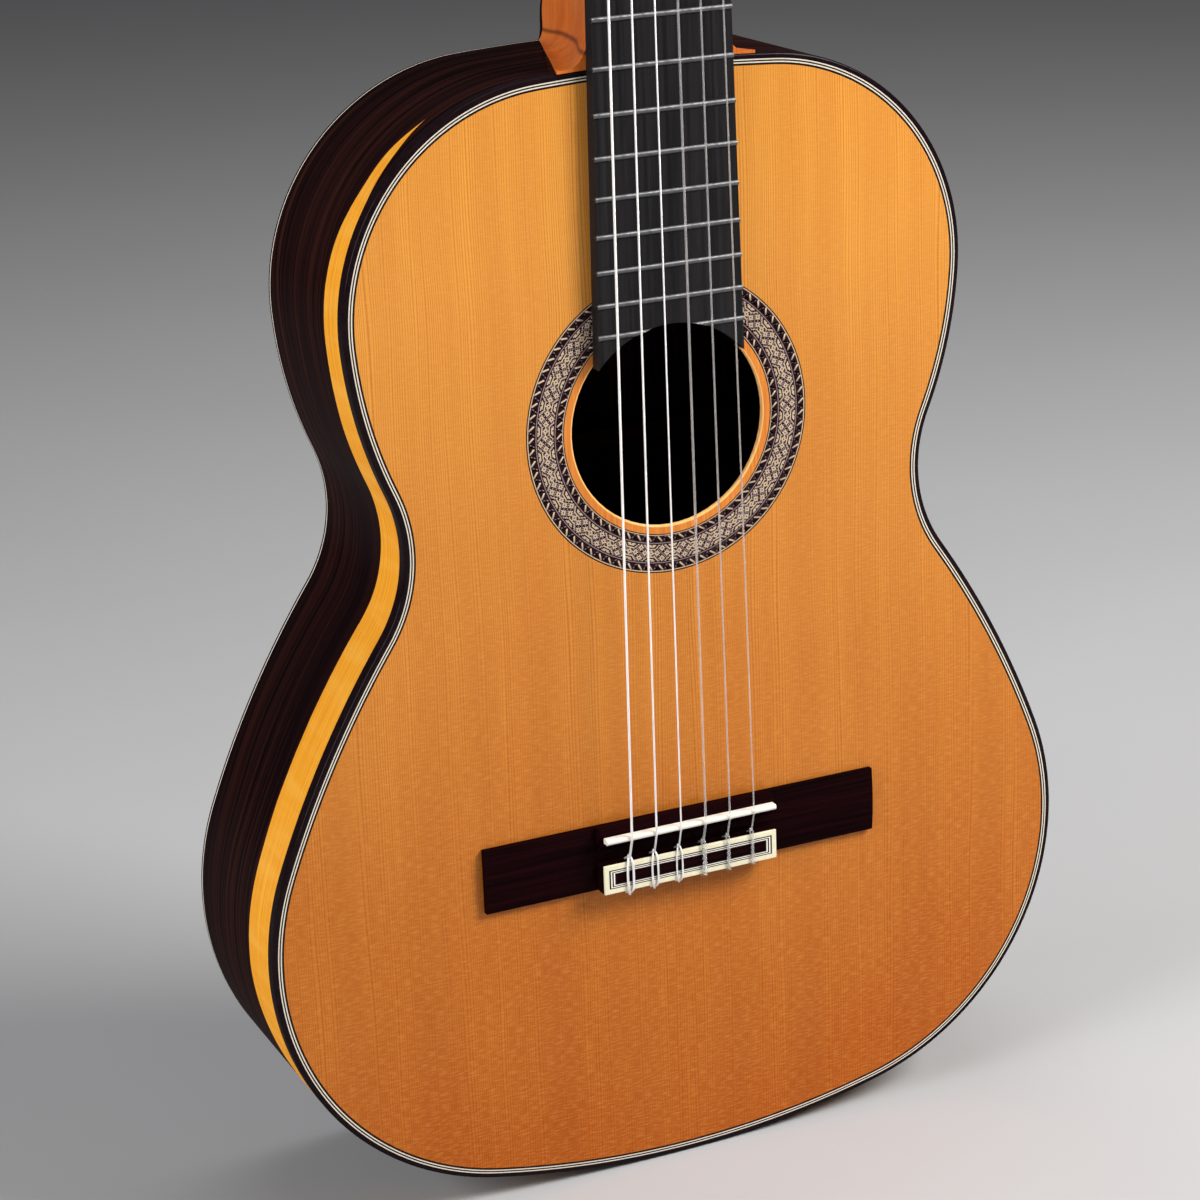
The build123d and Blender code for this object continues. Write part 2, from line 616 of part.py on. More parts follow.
def make_worm():
    """Worm along +Z with its thread, shaft and collar, its thread facing +Y at half its length."""
    low, high = WORM_Y
    start = (low + high) / 2 - worm_pitch * 2
    base = worm_root - 0.15
    root, tip = THREAD_ROOT_WIDTH / 2, THREAD_TIP_WIDTH / 2
    profile = Polygon((base, -root), (worm_tip, -tip), (worm_tip, tip), (base, root), align=None)
    helix = Helix(pitch=worm_pitch, height=4 * worm_pitch, radius=worm_root)
    thread = sweep(Plane.XZ * profile, path=helix, is_frenet=True)
    thread = Pos(0, 0, start) * Rot(0, 0, 90) * thread
    core = rod(worm_root, (0, 0, low), (0, 0, high))
    shaft_low = rod(WORM_SHAFT_RADIUS, (0, 0, 1), (0, 0, low))
    shaft_high = rod(WORM_SHAFT_RADIUS, (0, 0, high), (0, 0, BUTTON_Y[0] + BUTTON_SOCKET))
    return core + thread + shaft_low + shaft_high


def make_button():
    """Flat oval knob on the end of the worm's shaft, along +Z."""
    low = BUTTON_Y[0]
    knob = loft([Plane.XY.offset(low + rise) * Ellipse(a, b) for rise, a, b in BUTTON_SECTIONS])
    knob = fillet(knob.edges().group_by(Axis.Z)[-1], 0.9)
    return knob - rod(WORM_SHAFT_RADIUS, (0, 0, low - 1), (0, 0, low + BUTTON_SOCKET))


worm = make_worm()
button = make_button()
for number, radius in STRING_RADIUS.items():
    side = -1 if number > 3 else 1
    z = ROLLER_Z[6 - number if number > 3 else number - 1]
    turned = [make_roller(), make_coil(STRING_X[number], radius)]
    place = to_head * Pos(0, ROLLER_Y, z)
    save(f"roller_{number}", *[place * on_side(side, piece) for piece in turned])
    save(f"gear_{number}", *[to_head * piece for piece in make_gear(side, z)])
    worm_place = to_head * Pos(side * GEAR_X, 0, z + axis_distance) * Rot(-90, 0, 0)
    save(f"worm_{number}", worm_place * worm)
    save(f"button_{number}", worm_place * button)


def make_plate(side):
    """Side plate with a pair of bearing brackets for each worm."""
    plate_plan = RectangleRounded(PLATE_Y[1] - PLATE_Y[0], PLATE_Z[1] - PLATE_Z[0], 4)
    middle = ((PLATE_Y[0] + PLATE_Y[1]) / 2, (PLATE_Z[0] + PLATE_Z[1]) / 2)
    plate = extrude(Plane.YZ.offset(HEAD_HALF) * (Pos(*middle) * plate_plan), PLATE_THICKNESS)
    for z in ROLLER_Z:
        axis = z + axis_distance
        height = (axis - BRACKET_HALF, axis + BRACKET_HALF)
        for y in (WORM_Y[0] - OPEN_GAP - BRACKET_THICKNESS, WORM_Y[1] + OPEN_GAP):
            plate += span((HEAD_HALF, GEAR_X + 2.8), (y, y + BRACKET_THICKNESS), height)
        plate -= rod(WORM_SHAFT_RADIUS + BEARING_GAP, (GEAR_X, 0, axis), (GEAR_X, 20, axis))
        pin_start = (HEAD_HALF - 1, ROLLER_Y, z)
        plate -= rod(PIN_RADIUS + BEARING_GAP, pin_start, (plate_out + 1, ROLLER_Y, z))
    for z in SCREW_Z:
        plate -= rod(SCREW_RADIUS, (HEAD_HALF - 1, ROLLER_Y, z), (plate_out + 1, ROLLER_Y, z))
    return on_side(side, plate)


def make_screws(side):
    """The wood screws that hold one plate."""
    head_radius, head_height = SCREW_HEAD
    screws = []
    for z in SCREW_Z:
        under_head = (plate_out, ROLLER_Y, z)
        screw = rod(head_radius, under_head, (plate_out + head_height, ROLLER_Y, z))
        screw += rod(SCREW_RADIUS, (HEAD_HALF - SCREW_LENGTH, ROLLER_Y, z), under_head)
        slot = (z - SCREW_SLOT / 2, z + SCREW_SLOT / 2)
        screw -= span((plate_out + 0.6, plate_out + 2), (ROLLER_Y - 3, ROLLER_Y + 3), slot)
        screws.append(on_side(side, screw))
    return screws


save("plate_bass", to_head * make_plate(-1))
save("plate_treble", to_head * make_plate(1))
save("plate_screws", *[to_head * screw for side in (-1, 1) for screw in make_screws(side)])
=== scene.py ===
"""The looks of a classical guitar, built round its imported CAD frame.

Pieces are drawn in the bridge frame, in millimetres: X towards the treble side, Y from the soundboard
towards the back, Z up the neck, with the origin on the soundboard's face under the saddle. at() takes
such a point to the row frame, in metres, and at_head() does the same for the headstock's own frame.
"""

import json
from math import acos, atan2, ceil, copysign, cos, hypot, pi, radians, sin, sqrt

import bmesh
import bpy
from mathutils import Matrix, Vector

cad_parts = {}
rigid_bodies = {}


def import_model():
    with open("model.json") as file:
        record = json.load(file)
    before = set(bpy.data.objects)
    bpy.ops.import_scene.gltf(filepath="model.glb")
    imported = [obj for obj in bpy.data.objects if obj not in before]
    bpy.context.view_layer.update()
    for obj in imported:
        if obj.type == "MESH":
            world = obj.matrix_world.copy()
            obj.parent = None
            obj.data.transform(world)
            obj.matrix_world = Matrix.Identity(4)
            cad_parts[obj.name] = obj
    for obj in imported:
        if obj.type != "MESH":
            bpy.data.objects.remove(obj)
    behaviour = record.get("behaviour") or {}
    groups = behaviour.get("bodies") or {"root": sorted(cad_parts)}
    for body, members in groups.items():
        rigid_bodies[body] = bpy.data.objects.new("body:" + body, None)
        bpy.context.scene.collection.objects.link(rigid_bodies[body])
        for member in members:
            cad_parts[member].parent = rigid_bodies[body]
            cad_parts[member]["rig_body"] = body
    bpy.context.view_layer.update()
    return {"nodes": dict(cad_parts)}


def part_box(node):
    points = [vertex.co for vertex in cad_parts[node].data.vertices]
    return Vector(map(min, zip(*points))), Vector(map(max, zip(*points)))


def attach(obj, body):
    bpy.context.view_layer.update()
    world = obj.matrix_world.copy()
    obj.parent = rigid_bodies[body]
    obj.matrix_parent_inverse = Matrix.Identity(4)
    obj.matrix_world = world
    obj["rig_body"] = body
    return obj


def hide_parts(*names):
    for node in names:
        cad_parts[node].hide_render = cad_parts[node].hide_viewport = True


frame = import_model()

# ---------------------------------------------------------------- places, from the frame

MM = 0.001
FRONT_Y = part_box("soundboard")[0].y
SADDLE_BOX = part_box("saddle")
ORIGIN = Vector((0, FRONT_Y, (SADDLE_BOX[0].z + SADDLE_BOX[1].z) / 2))


def local_box(node):
    """Lowest and highest corner of a CAD node, in the bridge frame."""
    low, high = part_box(node)
    return (low - ORIGIN) / MM, (high - ORIGIN) / MM


TAIL_Z = local_box("top_binding")[0].z
BODY_JOINT_Z = local_box("top_binding")[1].z
HOLE_Z = (local_box("rosette")[0].z + local_box("rosette")[1].z) / 2
ROSETTE_OUTER = local_box("rosette")[1].x
ROSETTE_DEPTH = local_box("rosette")[1].y
BINDING_HEIGHT = local_box("top_binding")[1].y
HEAD_START_Z = local_box("nut")[1].z
HEAD_ANGLE = 15.0
HEAD_FRAME = Matrix.Translation(ORIGIN + Vector((0, 0, HEAD_START_Z)) * MM) @ Matrix.Rotation(
    radians(-HEAD_ANGLE), 4, "X"
)

# the body's half outline from the tail to the neck: the radius of each arc, negative where it is
# hollow, and the angle that it turns through; the first and last radii follow from the length
INNER_RADII = [120.2, 434.0, -62.1, 185.3, 92.8]
ARC_TURNS = [12.82, 98.17, 13.91, -58.27, 19.74, 89.52, 4.11]
OUTLINE_STEP = 3.0
BACK_RADIUS = 7000.0
BACK_PEAK_Z = -110.0
BACK_DEPTH = 98.0
BINDING_WIDTH = 2.3
RIB_THICKNESS = 2.3
BACK_THICKNESS = 2.6
TOP_THICKNESS = 2.4
HOLE_RADIUS = 43.7
ROSETTE_INNER = 47.4

# strings, from the bass to the treble
STRING_RADIUS = {6: 0.55, 5: 0.45, 4: 0.37, 3: 0.51, 2: 0.41, 1: 0.36}
BASS_STRINGS = (6, 5, 4)
BRIDGE_SPACING = 11.7
NUT_SPACING = 8.6
SADDLE_ACTION = -local_box("saddle")[0].y
NUT_ACTION = 7.0
TIE_FRONT = local_box("tie_block_inlay")[1].z
TIE_BACK = local_box("tie_block_inlay")[0].z
TIE_TOP = -local_box("tie_block_inlay")[0].y
TIE_HALF = local_box("tie_block_inlay")[1].x
TIE_HOLE_HEIGHT = 4.7

# tuning machines, in the headstock frame
ROLLER_Z = [48.0, 83.0, 118.0]
ROLLER_Y = 10.0
ROLLER_RADIUS = 5.0
STRING_X = {6: 20.0, 5: 18.0, 4: 16.5, 3: 16.5, 2: 18.0, 1: 20.0}
COIL_TURNS = 5
GEAR_X = 41.0
WORM_OFFSET = 8.6
BUTTON_Y = 24.0


def at(x, y, z):
    """A point of the bridge frame, in the row frame."""
    return ORIGIN + Vector((x, y, z)) * MM


def at_head(x, y, z):
    """A point of the headstock frame, in the row frame."""
    return HEAD_FRAME @ (Vector((x, y, z)) * MM)


# ---------------------------------------------------------------- materials


class Shader:
    """A Principled material under construction. Vectors that it hands out are in millimetres."""

    def __init__(self, name, **settings):
        self.material = bpy.data.materials.new(name)
        self.material.use_nodes = True
        self.tree = self.material.node_tree
        self.surface = self.tree.nodes["Principled BSDF"]
        self.places = {}
        for socket, value in settings.items():
            self.surface.inputs[socket.replace("_", " ")].default_value = value

    def feed(self, socket, value):
        if isinstance(value, bpy.types.NodeSocket):
            self.tree.links.new(value, socket)
        else:
            socket.default_value = value

    def node(self, kind, inputs, **settings):
        node = self.tree.nodes.new("ShaderNode" + kind)
        for key, value in settings.items():
            setattr(node, key, value)
        for socket, value in inputs.items():
            self.feed(node.inputs[socket], value)
        return node

    def place(self, kind="Object"):
        """Where a point lies, along X, Y and Z or along the piece's own grain, in millimetres."""
        if kind not in self.places:
            source = self.node("TexCoord", {}).outputs[kind]
            scaled = self.node("VectorMath", {0: source, 1: (1 / MM,) * 3}, operation="MULTIPLY")
            self.places[kind] = self.node("SeparateXYZ", {0: scaled.outputs[0]}).outputs
        return list(self.places[kind])

    def number(self, operation, *values):
        return self.node("Math", dict(enumerate(values)), operation=operation).outputs[0]

    def noise(self, x, y, z, scales, detail=2.0, roughness=0.5):
        """Smooth noise from 0 to 1, with scales in waves per millimetre along X, Y and Z."""
        joined = self.node("CombineXYZ", {0: x, 1: y, 2: z})
        vector = self.node("VectorMath", {0: joined.outputs[0], 1: scales}, operation="MULTIPLY")
        inputs = {"Vector": vector.outputs[0], "Scale": 1.0, "Detail": detail, "Roughness": roughness}
        return self.node("TexNoise", inputs).outputs[0]

    def grain(self, scales, **settings):
        """Noise by the place of each point, with scales in waves per millimetre along X, Y and Z."""
        return self.noise(*self.place(), scales, **settings)

    def range(self, value, low, high, to_low=0.0, to_high=1.0):
        inputs = {0: value, 1: low, 2: high, 3: to_low, 4: to_high}
        return self.node("MapRange", inputs, clamp=True).outputs[0]

    def mix(self, factor, first, second):
        first, second = ((*c, 1.0) if isinstance(c, tuple) else c for c in (first, second))
        return self.node("Mix", {0: factor, 6: first, 7: second}, data_type="RGBA").outputs[2]

    def tint(self, first, second, value, low, high, most=1.0):
        """A colour that turns to a second one, at most that far, as a value climbs from low to high."""
        return self.mix(self.range(value, low, high, 0.0, most), first, second)

    def bump(self, height, distance):
        """Relief of that many millimetres."""
        bump = self.node("Bump", {"Height": height, "Distance": distance * MM, "Strength": 1.0})
        self.feed(self.surface.inputs["Normal"], bump.outputs[0])

    def finish(self, colour, roughness, value=None):
        """Sets the colour, and a roughness or the two that it runs between as a value climbs."""
        if value is not None:
            roughness = self.range(value, 0.3, 0.7, *roughness)
        self.feed(self.surface.inputs["Base Color"], colour)
        self.feed(self.surface.inputs["Roughness"], roughness)
        return self.material


GLOSS = {"Coat_Weight": 0.36, "Coat_Roughness": 0.07, "Coat_IOR": 1.4, "Specular_IOR_Level": 0.08}
DARK_GLOSS = {"Coat_Weight": 0.07, "Coat_Roughness": 0.09, "Coat_IOR": 1.3, "Specular_IOR_Level": 0.0}
SATIN = {"Coat_Weight": 0.35, "Coat_Roughness": 0.3, "Specular_IOR_Level": 0.3}


def cedar():
    """Book-matched red cedar: fine straight growth lines, tonal bands, faint cross silk, and painted light
    that brightens it towards the neck.
    """
    s = Shader("cedar", **GLOSS)
    x, _, z = s.place()
    sideways = s.number("ABSOLUTE", x)
    drift = s.noise(0.0, 0.0, z, (0, 0, 0.010), detail=1.0)
    across = s.number("MULTIPLY_ADD", drift, 3.0, sideways)
    uneven = s.noise(across, 0.0, z, (0.09, 0, 0.002))
    ring = s.number("MULTIPLY_ADD", uneven, 8.0, s.number("DIVIDE", across, 1.05))
    wave = s.number("SINE", s.number("MULTIPLY", ring, 2 * pi))
    late = s.number("POWER", s.range(wave, -1.0, 1.0), 2.6)
    patchy = s.noise(across, 0.0, z, (0.35, 0, 0.004), detail=3.0, roughness=0.7)
    strength = s.range(patchy, 0.35, 0.7, 0.55, 1.0)
    fibre = s.noise(across, 0.0, z, (3.0, 0, 0.05))
    bands = s.noise(across, 0.0, z, (0.055, 0, 0.003))
    broad = s.grain((0.010, 0, 0.007))
    silk = s.grain((0.22, 0, 1.25), roughness=0.6)
    # painted light: the cedar turns lighter and yellower towards the neck and darker, more orange towards
    # the tail, for how the lamps fall on the top
    rise = s.number("MULTIPLY_ADD", broad, 160.0, z)
    saddle_z = ORIGIN.z / MM
    painted_light_towards_neck = s.range(rise, saddle_z - 60.0, saddle_z + 330.0)
    light = s.mix(painted_light_towards_neck, (0.46, 0.103, 0.005), (0.76, 0.335, 0.054))
    dark = s.mix(painted_light_towards_neck, (0.27, 0.044, 0.002), (0.45, 0.115, 0.013))
    colour = s.mix(s.number("MULTIPLY", late, strength), light, dark)
    shade = s.mix(0.5, light, dark)
    colour = s.tint(colour, shade, fibre, 0.35, 0.7, 0.35)
    colour = s.tint(colour, shade, bands, 0.35, 0.65, 0.7)
    colour = s.tint(colour, (0.80, 0.36, 0.07), silk, 0.45, 0.75, 0.3)
    s.bump(late, 0.008)
    return s.finish(colour, (0.40, 0.5), silk)


def cedar_ring(name, light, dark):
    """Redder cedar between the soundhole and the rosette; its paler version on the soundhole's rounded rim
    is a painted highlight.
    """
    s = Shader(name, **GLOSS)
    lines = s.grain((1.1, 0, 0.02))
    broad = s.grain((0.06, 0, 0.06))
    colour = s.tint(light, dark, lines, 0.3, 0.7)
    colour = s.tint(colour, light, broad, 0.4, 0.7, 0.4)
    return s.finish(colour, 0.4)


def rosewood_colour(s, along, across):
    """Near-black purple-brown with reddish streaks along the grain, and its open pores."""
    sway = s.noise(along, across, 0.0, (0.008, 0.02, 0), detail=1.0)
    bent = s.number("MULTIPLY_ADD", sway, 9.0, across)
    streaks = s.noise(along, bent, 0.0, (0.004, 0.33, 0), detail=4.0, roughness=0.6)
    broad = s.noise(along, bent, 0.0, (0.003, 0.06, 0))
    pores = s.noise(along, across, 0.0, (0.14, 2.6, 0))
    colour = s.tint((0.004, 0.002, 0.0025), (0.036, 0.011, 0.008), streaks, 0.38, 0.68)
    colour = s.tint(colour, (0.007, 0.003, 0.004), broad, 0.42, 0.7, 0.75)
    colour = s.tint(colour, (0.003, 0.0015, 0.0015), pores, 0.62, 0.72, 0.8)
    return colour, pores


def rib_wood():
    """Rosewood of the ribs, with the pale sapwood stripe beside the top binding."""
    s = Shader("rib_wood", **DARK_GLOSS)
    along, depth, _ = s.place("UV")
    colour, pores = rosewood_colour(s, along, depth)
    front = s.node("Attribute", {}, attribute_name="below_front").outputs["Fac"]
    back = s.node("Attribute", {}, attribute_name="above_back").outputs["Fac"]
    ragged = s.noise(along, depth, 0.0, (0.03, 0.12, 0), detail=3.0)
    inside = s.number("MINIMUM", front, back)
    wavy = s.number("ADD", inside, s.range(ragged, 0.0, 1.0, -0.9, 0.9))
    grain = s.noise(along, depth, 0.0, (0.012, 0.8, 0), detail=3.0, roughness=0.6)
    pale = s.tint((0.92, 0.41, 0.035), (0.76, 0.27, 0.018), grain, 0.35, 0.7)
    figure = s.noise(along, depth, 0.0, (0.12, 0.02, 0))
    pale = s.tint(pale, (0.96, 0.52, 0.10), figure, 0.45, 0.7, 0.3)
    pale = s.tint(pale, (0.50, 0.18, 0.03), pores, 0.66, 0.74, 0.5)
    colour = s.tint(colour, pale, wavy, -0.15, 0.25)
    s.bump(pores, -0.01)
    return s.finish(colour, 0.35)


def rosewood(name):
    """Rosewood with its grain along Z, book-matched about the middle."""
    s = Shader(name, **DARK_GLOSS)
    x, _, z = s.place()
    colour, pores = rosewood_colour(s, z, s.number("ABSOLUTE", x))
    s.bump(pores, -0.01)
    return s.finish(colour, 0.35)


def bridge_wood():
    """Deep red-brown rosewood with its grain along the bridge."""
    s = Shader("bridge_wood", **DARK_GLOSS)
    x, y, z = s.place()
    across = s.number("ADD", y, z)
    streaks = s.noise(x, across, 0.0, (0.010, 0.55, 0), detail=4.0, roughness=0.6)
    pores = s.noise(x, across, 0.0, (0.12, 2.4, 0))
    colour = s.tint((0.003, 0.0008, 0.0012), (0.014, 0.0022, 0.003), streaks, 0.35, 0.72)
    colour = s.tint(colour, (0.005, 0.002, 0.002), pores, 0.60, 0.7, 0.8)
    s.bump(pores, -0.02)
    return s.finish(colour, (0.28, 0.42), streaks)


def ebony():
    """Black-brown ebony with fine long pores and a dull hand-rubbed sheen."""
    s = Shader("ebony", Coat_Weight=0.06, Coat_Roughness=0.35, Specular_IOR_Level=0.15)
    streaks = s.grain((0.45, 0.45, 0.006), detail=4.0, roughness=0.65)
    pores = s.grain((2.6, 2.6, 0.09))
    colour = s.tint((0.006, 0.0058, 0.0066), (0.019, 0.016, 0.018), streaks, 0.4, 0.72)
    colour = s.tint(colour, (0.003, 0.003, 0.003), pores, 0.6, 0.72, 0.7)
    s.bump(pores, -0.03)
    return s.finish(colour, (0.34, 0.5), streaks)


def pale_wood(name, light, dark, settings, fine=1.2):
    """Plain straight-grained wood with its grain along Z."""
    s = Shader(name, **settings)
    lines = s.grain((fine, fine, 0.02), detail=3.0, roughness=0.6)
    broad = s.grain((0.05, 0.05, 0.01))
    colour = s.tint(light, dark, lines, 0.35, 0.68)
    colour = s.tint(colour, dark, broad, 0.4, 0.7, 0.35)
    s.bump(lines, 0.02)
    return s.finish(colour, (0.36, 0.5), lines)


def neck_cedar(name, shaded_crease=None):
    """Orange-brown cedro of the neck, with short open pores along it and, given a height on the
    body, painted shade: a dark band along the crease above the heel's foot."""
    s = Shader(name, **GLOSS)
    _, y, z = s.place()
    bands = s.grain((0.16, 0.16, 0.004), detail=3.0, roughness=0.6)
    pores = s.grain((1.7, 1.7, 0.09))
    glow = s.grain((0.03, 0.03, 0.05), detail=1.0)
    colour = s.tint((0.64, 0.155, 0.021), (0.47, 0.088, 0.011), bands, 0.30, 0.75)
    colour = s.tint(colour, (0.74, 0.21, 0.030), glow, 0.4, 0.7, 0.4)
    colour = s.tint(colour, (0.20, 0.035, 0.007), pores, 0.60, 0.72, 0.45)
    # painted shade: a dark band along the crease where the heel's flank meets its foot
    if shaded_crease:
        height = s.number("MULTIPLY_ADD", y, 0.02, z)
        wander = s.number("MULTIPLY_ADD", glow, 2.0, height)
        away = s.number("ABSOLUTE", s.number("SUBTRACT", wander, shaded_crease + ORIGIN.z / MM))
        colour = s.mix(s.range(away, 0.2, 1.3, 0.75, 0.0), colour, (0.07, 0.016, 0.007))
    s.bump(pores, -0.015)
    return s.finish(colour, 0.38)


def plain(name, colour, second, scale, roughness, **settings):
    """A nearly even material with a faint mottle of a second colour."""
    s = Shader(name, **settings)
    mottle = s.grain((scale,) * 3, detail=4.0, roughness=0.6)
    mixed = s.tint(colour, second, mottle, 0.35, 0.7)
    s.bump(mottle, 0.006)
    return s.finish(mixed, (roughness * 0.85, roughness * 1.15), mottle)


def wound_metal():
    """Silver-plated wire wound round the bass strings, a turn every few tenths of a millimetre."""
    s = Shader("wound_wire", Metallic=0.55)
    along, around, _ = s.place("UV")
    turn = s.number("MULTIPLY_ADD", around, 0.09, along)
    wave = s.number("SINE", s.number("MULTIPLY", turn, 2 * pi / 0.32))
    tarnish = s.noise(along, around, 0.0, (0.05, 0.3, 0), detail=3.0)
    colour = s.tint((0.93, 0.92, 0.92), (0.82, 0.81, 0.80), tarnish, 0.35, 0.7)
    s.bump(wave, 0.03)
    return s.finish(colour, 0.36)


def nylon():
    """Clear nylon, slightly milky."""
    s = Shader("nylon", Transmission_Weight=0.78, IOR=1.4)
    haze = s.grain((0.4, 0.4, 0.05), detail=3.0)
    colour = s.tint((0.96, 0.94, 0.93), (0.88, 0.87, 0.87), haze, 0.35, 0.7)
    return s.finish(colour, (0.10, 0.2), haze)


def metal(name, colour, second, roughness):
    """Polished metal with fine wear."""
    s = Shader(name, Metallic=1.0)
    wear = s.grain((0.5, 0.5, 0.5), detail=5.0, roughness=0.7)
    scratches = s.grain((0.3, 4.0, 0.3))
    mixed = s.tint(colour, second, wear, 0.4, 0.7)
    s.bump(scratches, 0.004)
    return s.finish(mixed, (roughness * 0.7, roughness * 1.3), wear)


def pearl():
    """Pearly plastic of the tuning buttons, with drifting cloudy bands."""
    s = Shader("pearl", Coat_Weight=1.0, Coat_Roughness=0.05)
    x, y, z = s.place()
    bend = s.grain((0.12, 0.12, 0.12))
    clouds = s.noise(s.number("MULTIPLY_ADD", bend, 8.0, x), y, z, (0.30, 0.12, 0.35), detail=3.0)
    colour = s.tint((0.86, 0.82, 0.72), (0.62, 0.58, 0.50), clouds, 0.35, 0.65)
    colour = s.tint(colour, (0.93, 0.91, 0.86), clouds, 0.62, 0.75)
    return s.finish(colour, (0.2, 0.35), clouds)


def floor_paint():
    """Pale matt studio floor."""
    s = Shader("studio_floor")
    mottle = s.grain((0.004, 0.004, 0.004), detail=4.0)
    colour = s.mix(mottle, (0.46, 0.46, 0.47), (0.43, 0.43, 0.44))
    return s.finish(colour, 0.8)


CEDAR = cedar()
CEDAR_RING = cedar_ring("cedar_ring", (0.76, 0.26, 0.042), (0.54, 0.145, 0.018))
# paler cedar for the soundhole's rounded rim: a painted highlight
CEDAR_RIM_HIGHLIGHT = cedar_ring("cedar_rim_painted_highlight", (0.95, 0.56, 0.20), (0.86, 0.42, 0.12))
RIB_WOOD = rib_wood()
ROSEWOOD = rosewood("rosewood")
VENEER_WOOD = rosewood("head_rosewood")
BRIDGE_WOOD = bridge_wood()
EBONY = ebony()
BINDING_WOOD = plain(
    "binding_wood", (0.007, 0.0035, 0.005), (0.013, 0.006, 0.007), 0.3, 0.35,
    Coat_Weight=0.2, Coat_Roughness=0.15, Coat_IOR=1.35, Specular_IOR_Level=0.0,
)
MAPLE = pale_wood("maple_line", (0.76, 0.70, 0.60), (0.64, 0.58, 0.48), DARK_GLOSS)
BLACK_LINE = plain("black_line", (0.012, 0.007, 0.007), (0.022, 0.013, 0.012), 1.0, 0.4, **DARK_GLOSS)
CREAM_TILE = plain("cream_tile", (0.57, 0.445, 0.325), (0.47, 0.35, 0.24), 1.4, 0.4, **DARK_GLOSS)
DARK_TILE = plain("dark_tile", (0.014, 0.005, 0.007), (0.030, 0.011, 0.013), 1.4, 0.4, **DARK_GLOSS)
GREY_TILE = plain("grey_tile", (0.30, 0.22, 0.23), (0.20, 0.14, 0.15), 1.4, 0.4, **DARK_GLOSS)
BONE = plain("bone", (0.88, 0.85, 0.77), (0.80, 0.76, 0.66), 0.5, 0.3)
CREAM_BONE = plain("cream_bone", (0.84, 0.79, 0.58), (0.76, 0.70, 0.49), 0.4, 0.3, **SATIN)
INNER_SPRUCE = pale_wood("inner_spruce", (0.62, 0.40, 0.20), (0.48, 0.28, 0.12), SATIN, 0.9)
# painted shade: the inner mahogany is made nearly black, for the shade inside the sound box
SHADED_MAHOGANY = pale_wood("mahogany_painted_shade", (0.030, 0.011, 0.007), (0.016, 0.006, 0.004), DARK_GLOSS, 0.9)
NECK_CEDAR = neck_cedar("neck_cedar")
# the heel's cedar carries painted shade in the crease above its foot
HEEL_CEDAR = neck_cedar("heel_cedar", shaded_crease=332.0)
WOUND = wound_metal()
NYLON = nylon()
NICKEL = metal("nickel", (0.17, 0.17, 0.175), (0.12, 0.12, 0.125), 0.5)
BRASS = metal("brass", (0.80, 0.58, 0.24), (0.62, 0.42, 0.15), 0.26)
STEEL = metal("steel", (0.60, 0.59, 0.57), (0.42, 0.41, 0.40), 0.28)
ROLLER_PLASTIC = plain("roller_plastic", (0.83, 0.80, 0.70), (0.76, 0.72, 0.60), 0.3, 0.3)
PEARL = pearl()
FLOOR = floor_paint()

# ---------------------------------------------------------------- making pieces

# corners nearer than this many millimetres are joined, and the angles are in degrees
WELD = 0.002
FLAT_ANGLE = 0.4
SOFTEN_ANGLE = 38
SHARP_ANGLE = 35


def close_model(model, mesh, sharp):
    """Writes an edited shape to its mesh, smooth but for the edges sharper than an angle in degrees."""
    bmesh.ops.recalc_face_normals(model, faces=model.faces)
    model.to_mesh(mesh)
    model.free()
    mesh.shade_smooth()
    mesh.set_sharp_from_angle(angle=radians(sharp))


def make_mesh(name, points, faces, uvs=None, place=at, looks=None, sharp=SHARP_ANGLE):
    """A mesh from points in a local frame. uvs hold a pair for each corner, in millimetres."""
    mesh = bpy.data.meshes.new(name)
    mesh.from_pydata([place(*point) for point in points], [], faces)
    if uvs:
        layer = mesh.uv_layers.new(name="grain")
        layer.data.foreach_set("uv", [value * MM for corner in uvs for value in corner])
    if looks:
        mesh.polygons.foreach_set("material_index", looks)
    model = bmesh.new()
    model.from_mesh(mesh)
    close_model(model, mesh, sharp)
    return mesh


def add_object(name, content):
    """A new object in the scene that holds a mesh, a lamp or a camera."""
    made = bpy.data.objects.new(name, content)
    bpy.context.scene.collection.objects.link(made)
    return made


def add_piece(name, mesh, materials, slot, replaces=(), body="root"):
    """Puts a finished mesh in the scene, on its body."""
    piece = add_object(name, mesh)
    for material in materials if isinstance(materials, list) else [materials]:
        mesh.materials.append(material)
    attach(piece, body)
    if replaces:
        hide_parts(*replaces)
    return piece


def add_shape(name, shape, materials, slot, replaces=(), body="root", **settings):
    """A piece from a shape's points, faces and, where it has them, corner places."""
    return add_piece(name, make_mesh(name, *shape, **settings), materials, slot, replaces, body)


def keep_flats_flat(piece):
    """Shades the wide faces flat, so that only the rounded edges catch the light."""
    normals = piece.modifiers.new("flat faces", "WEIGHTED_NORMAL")
    normals.keep_sharp = True


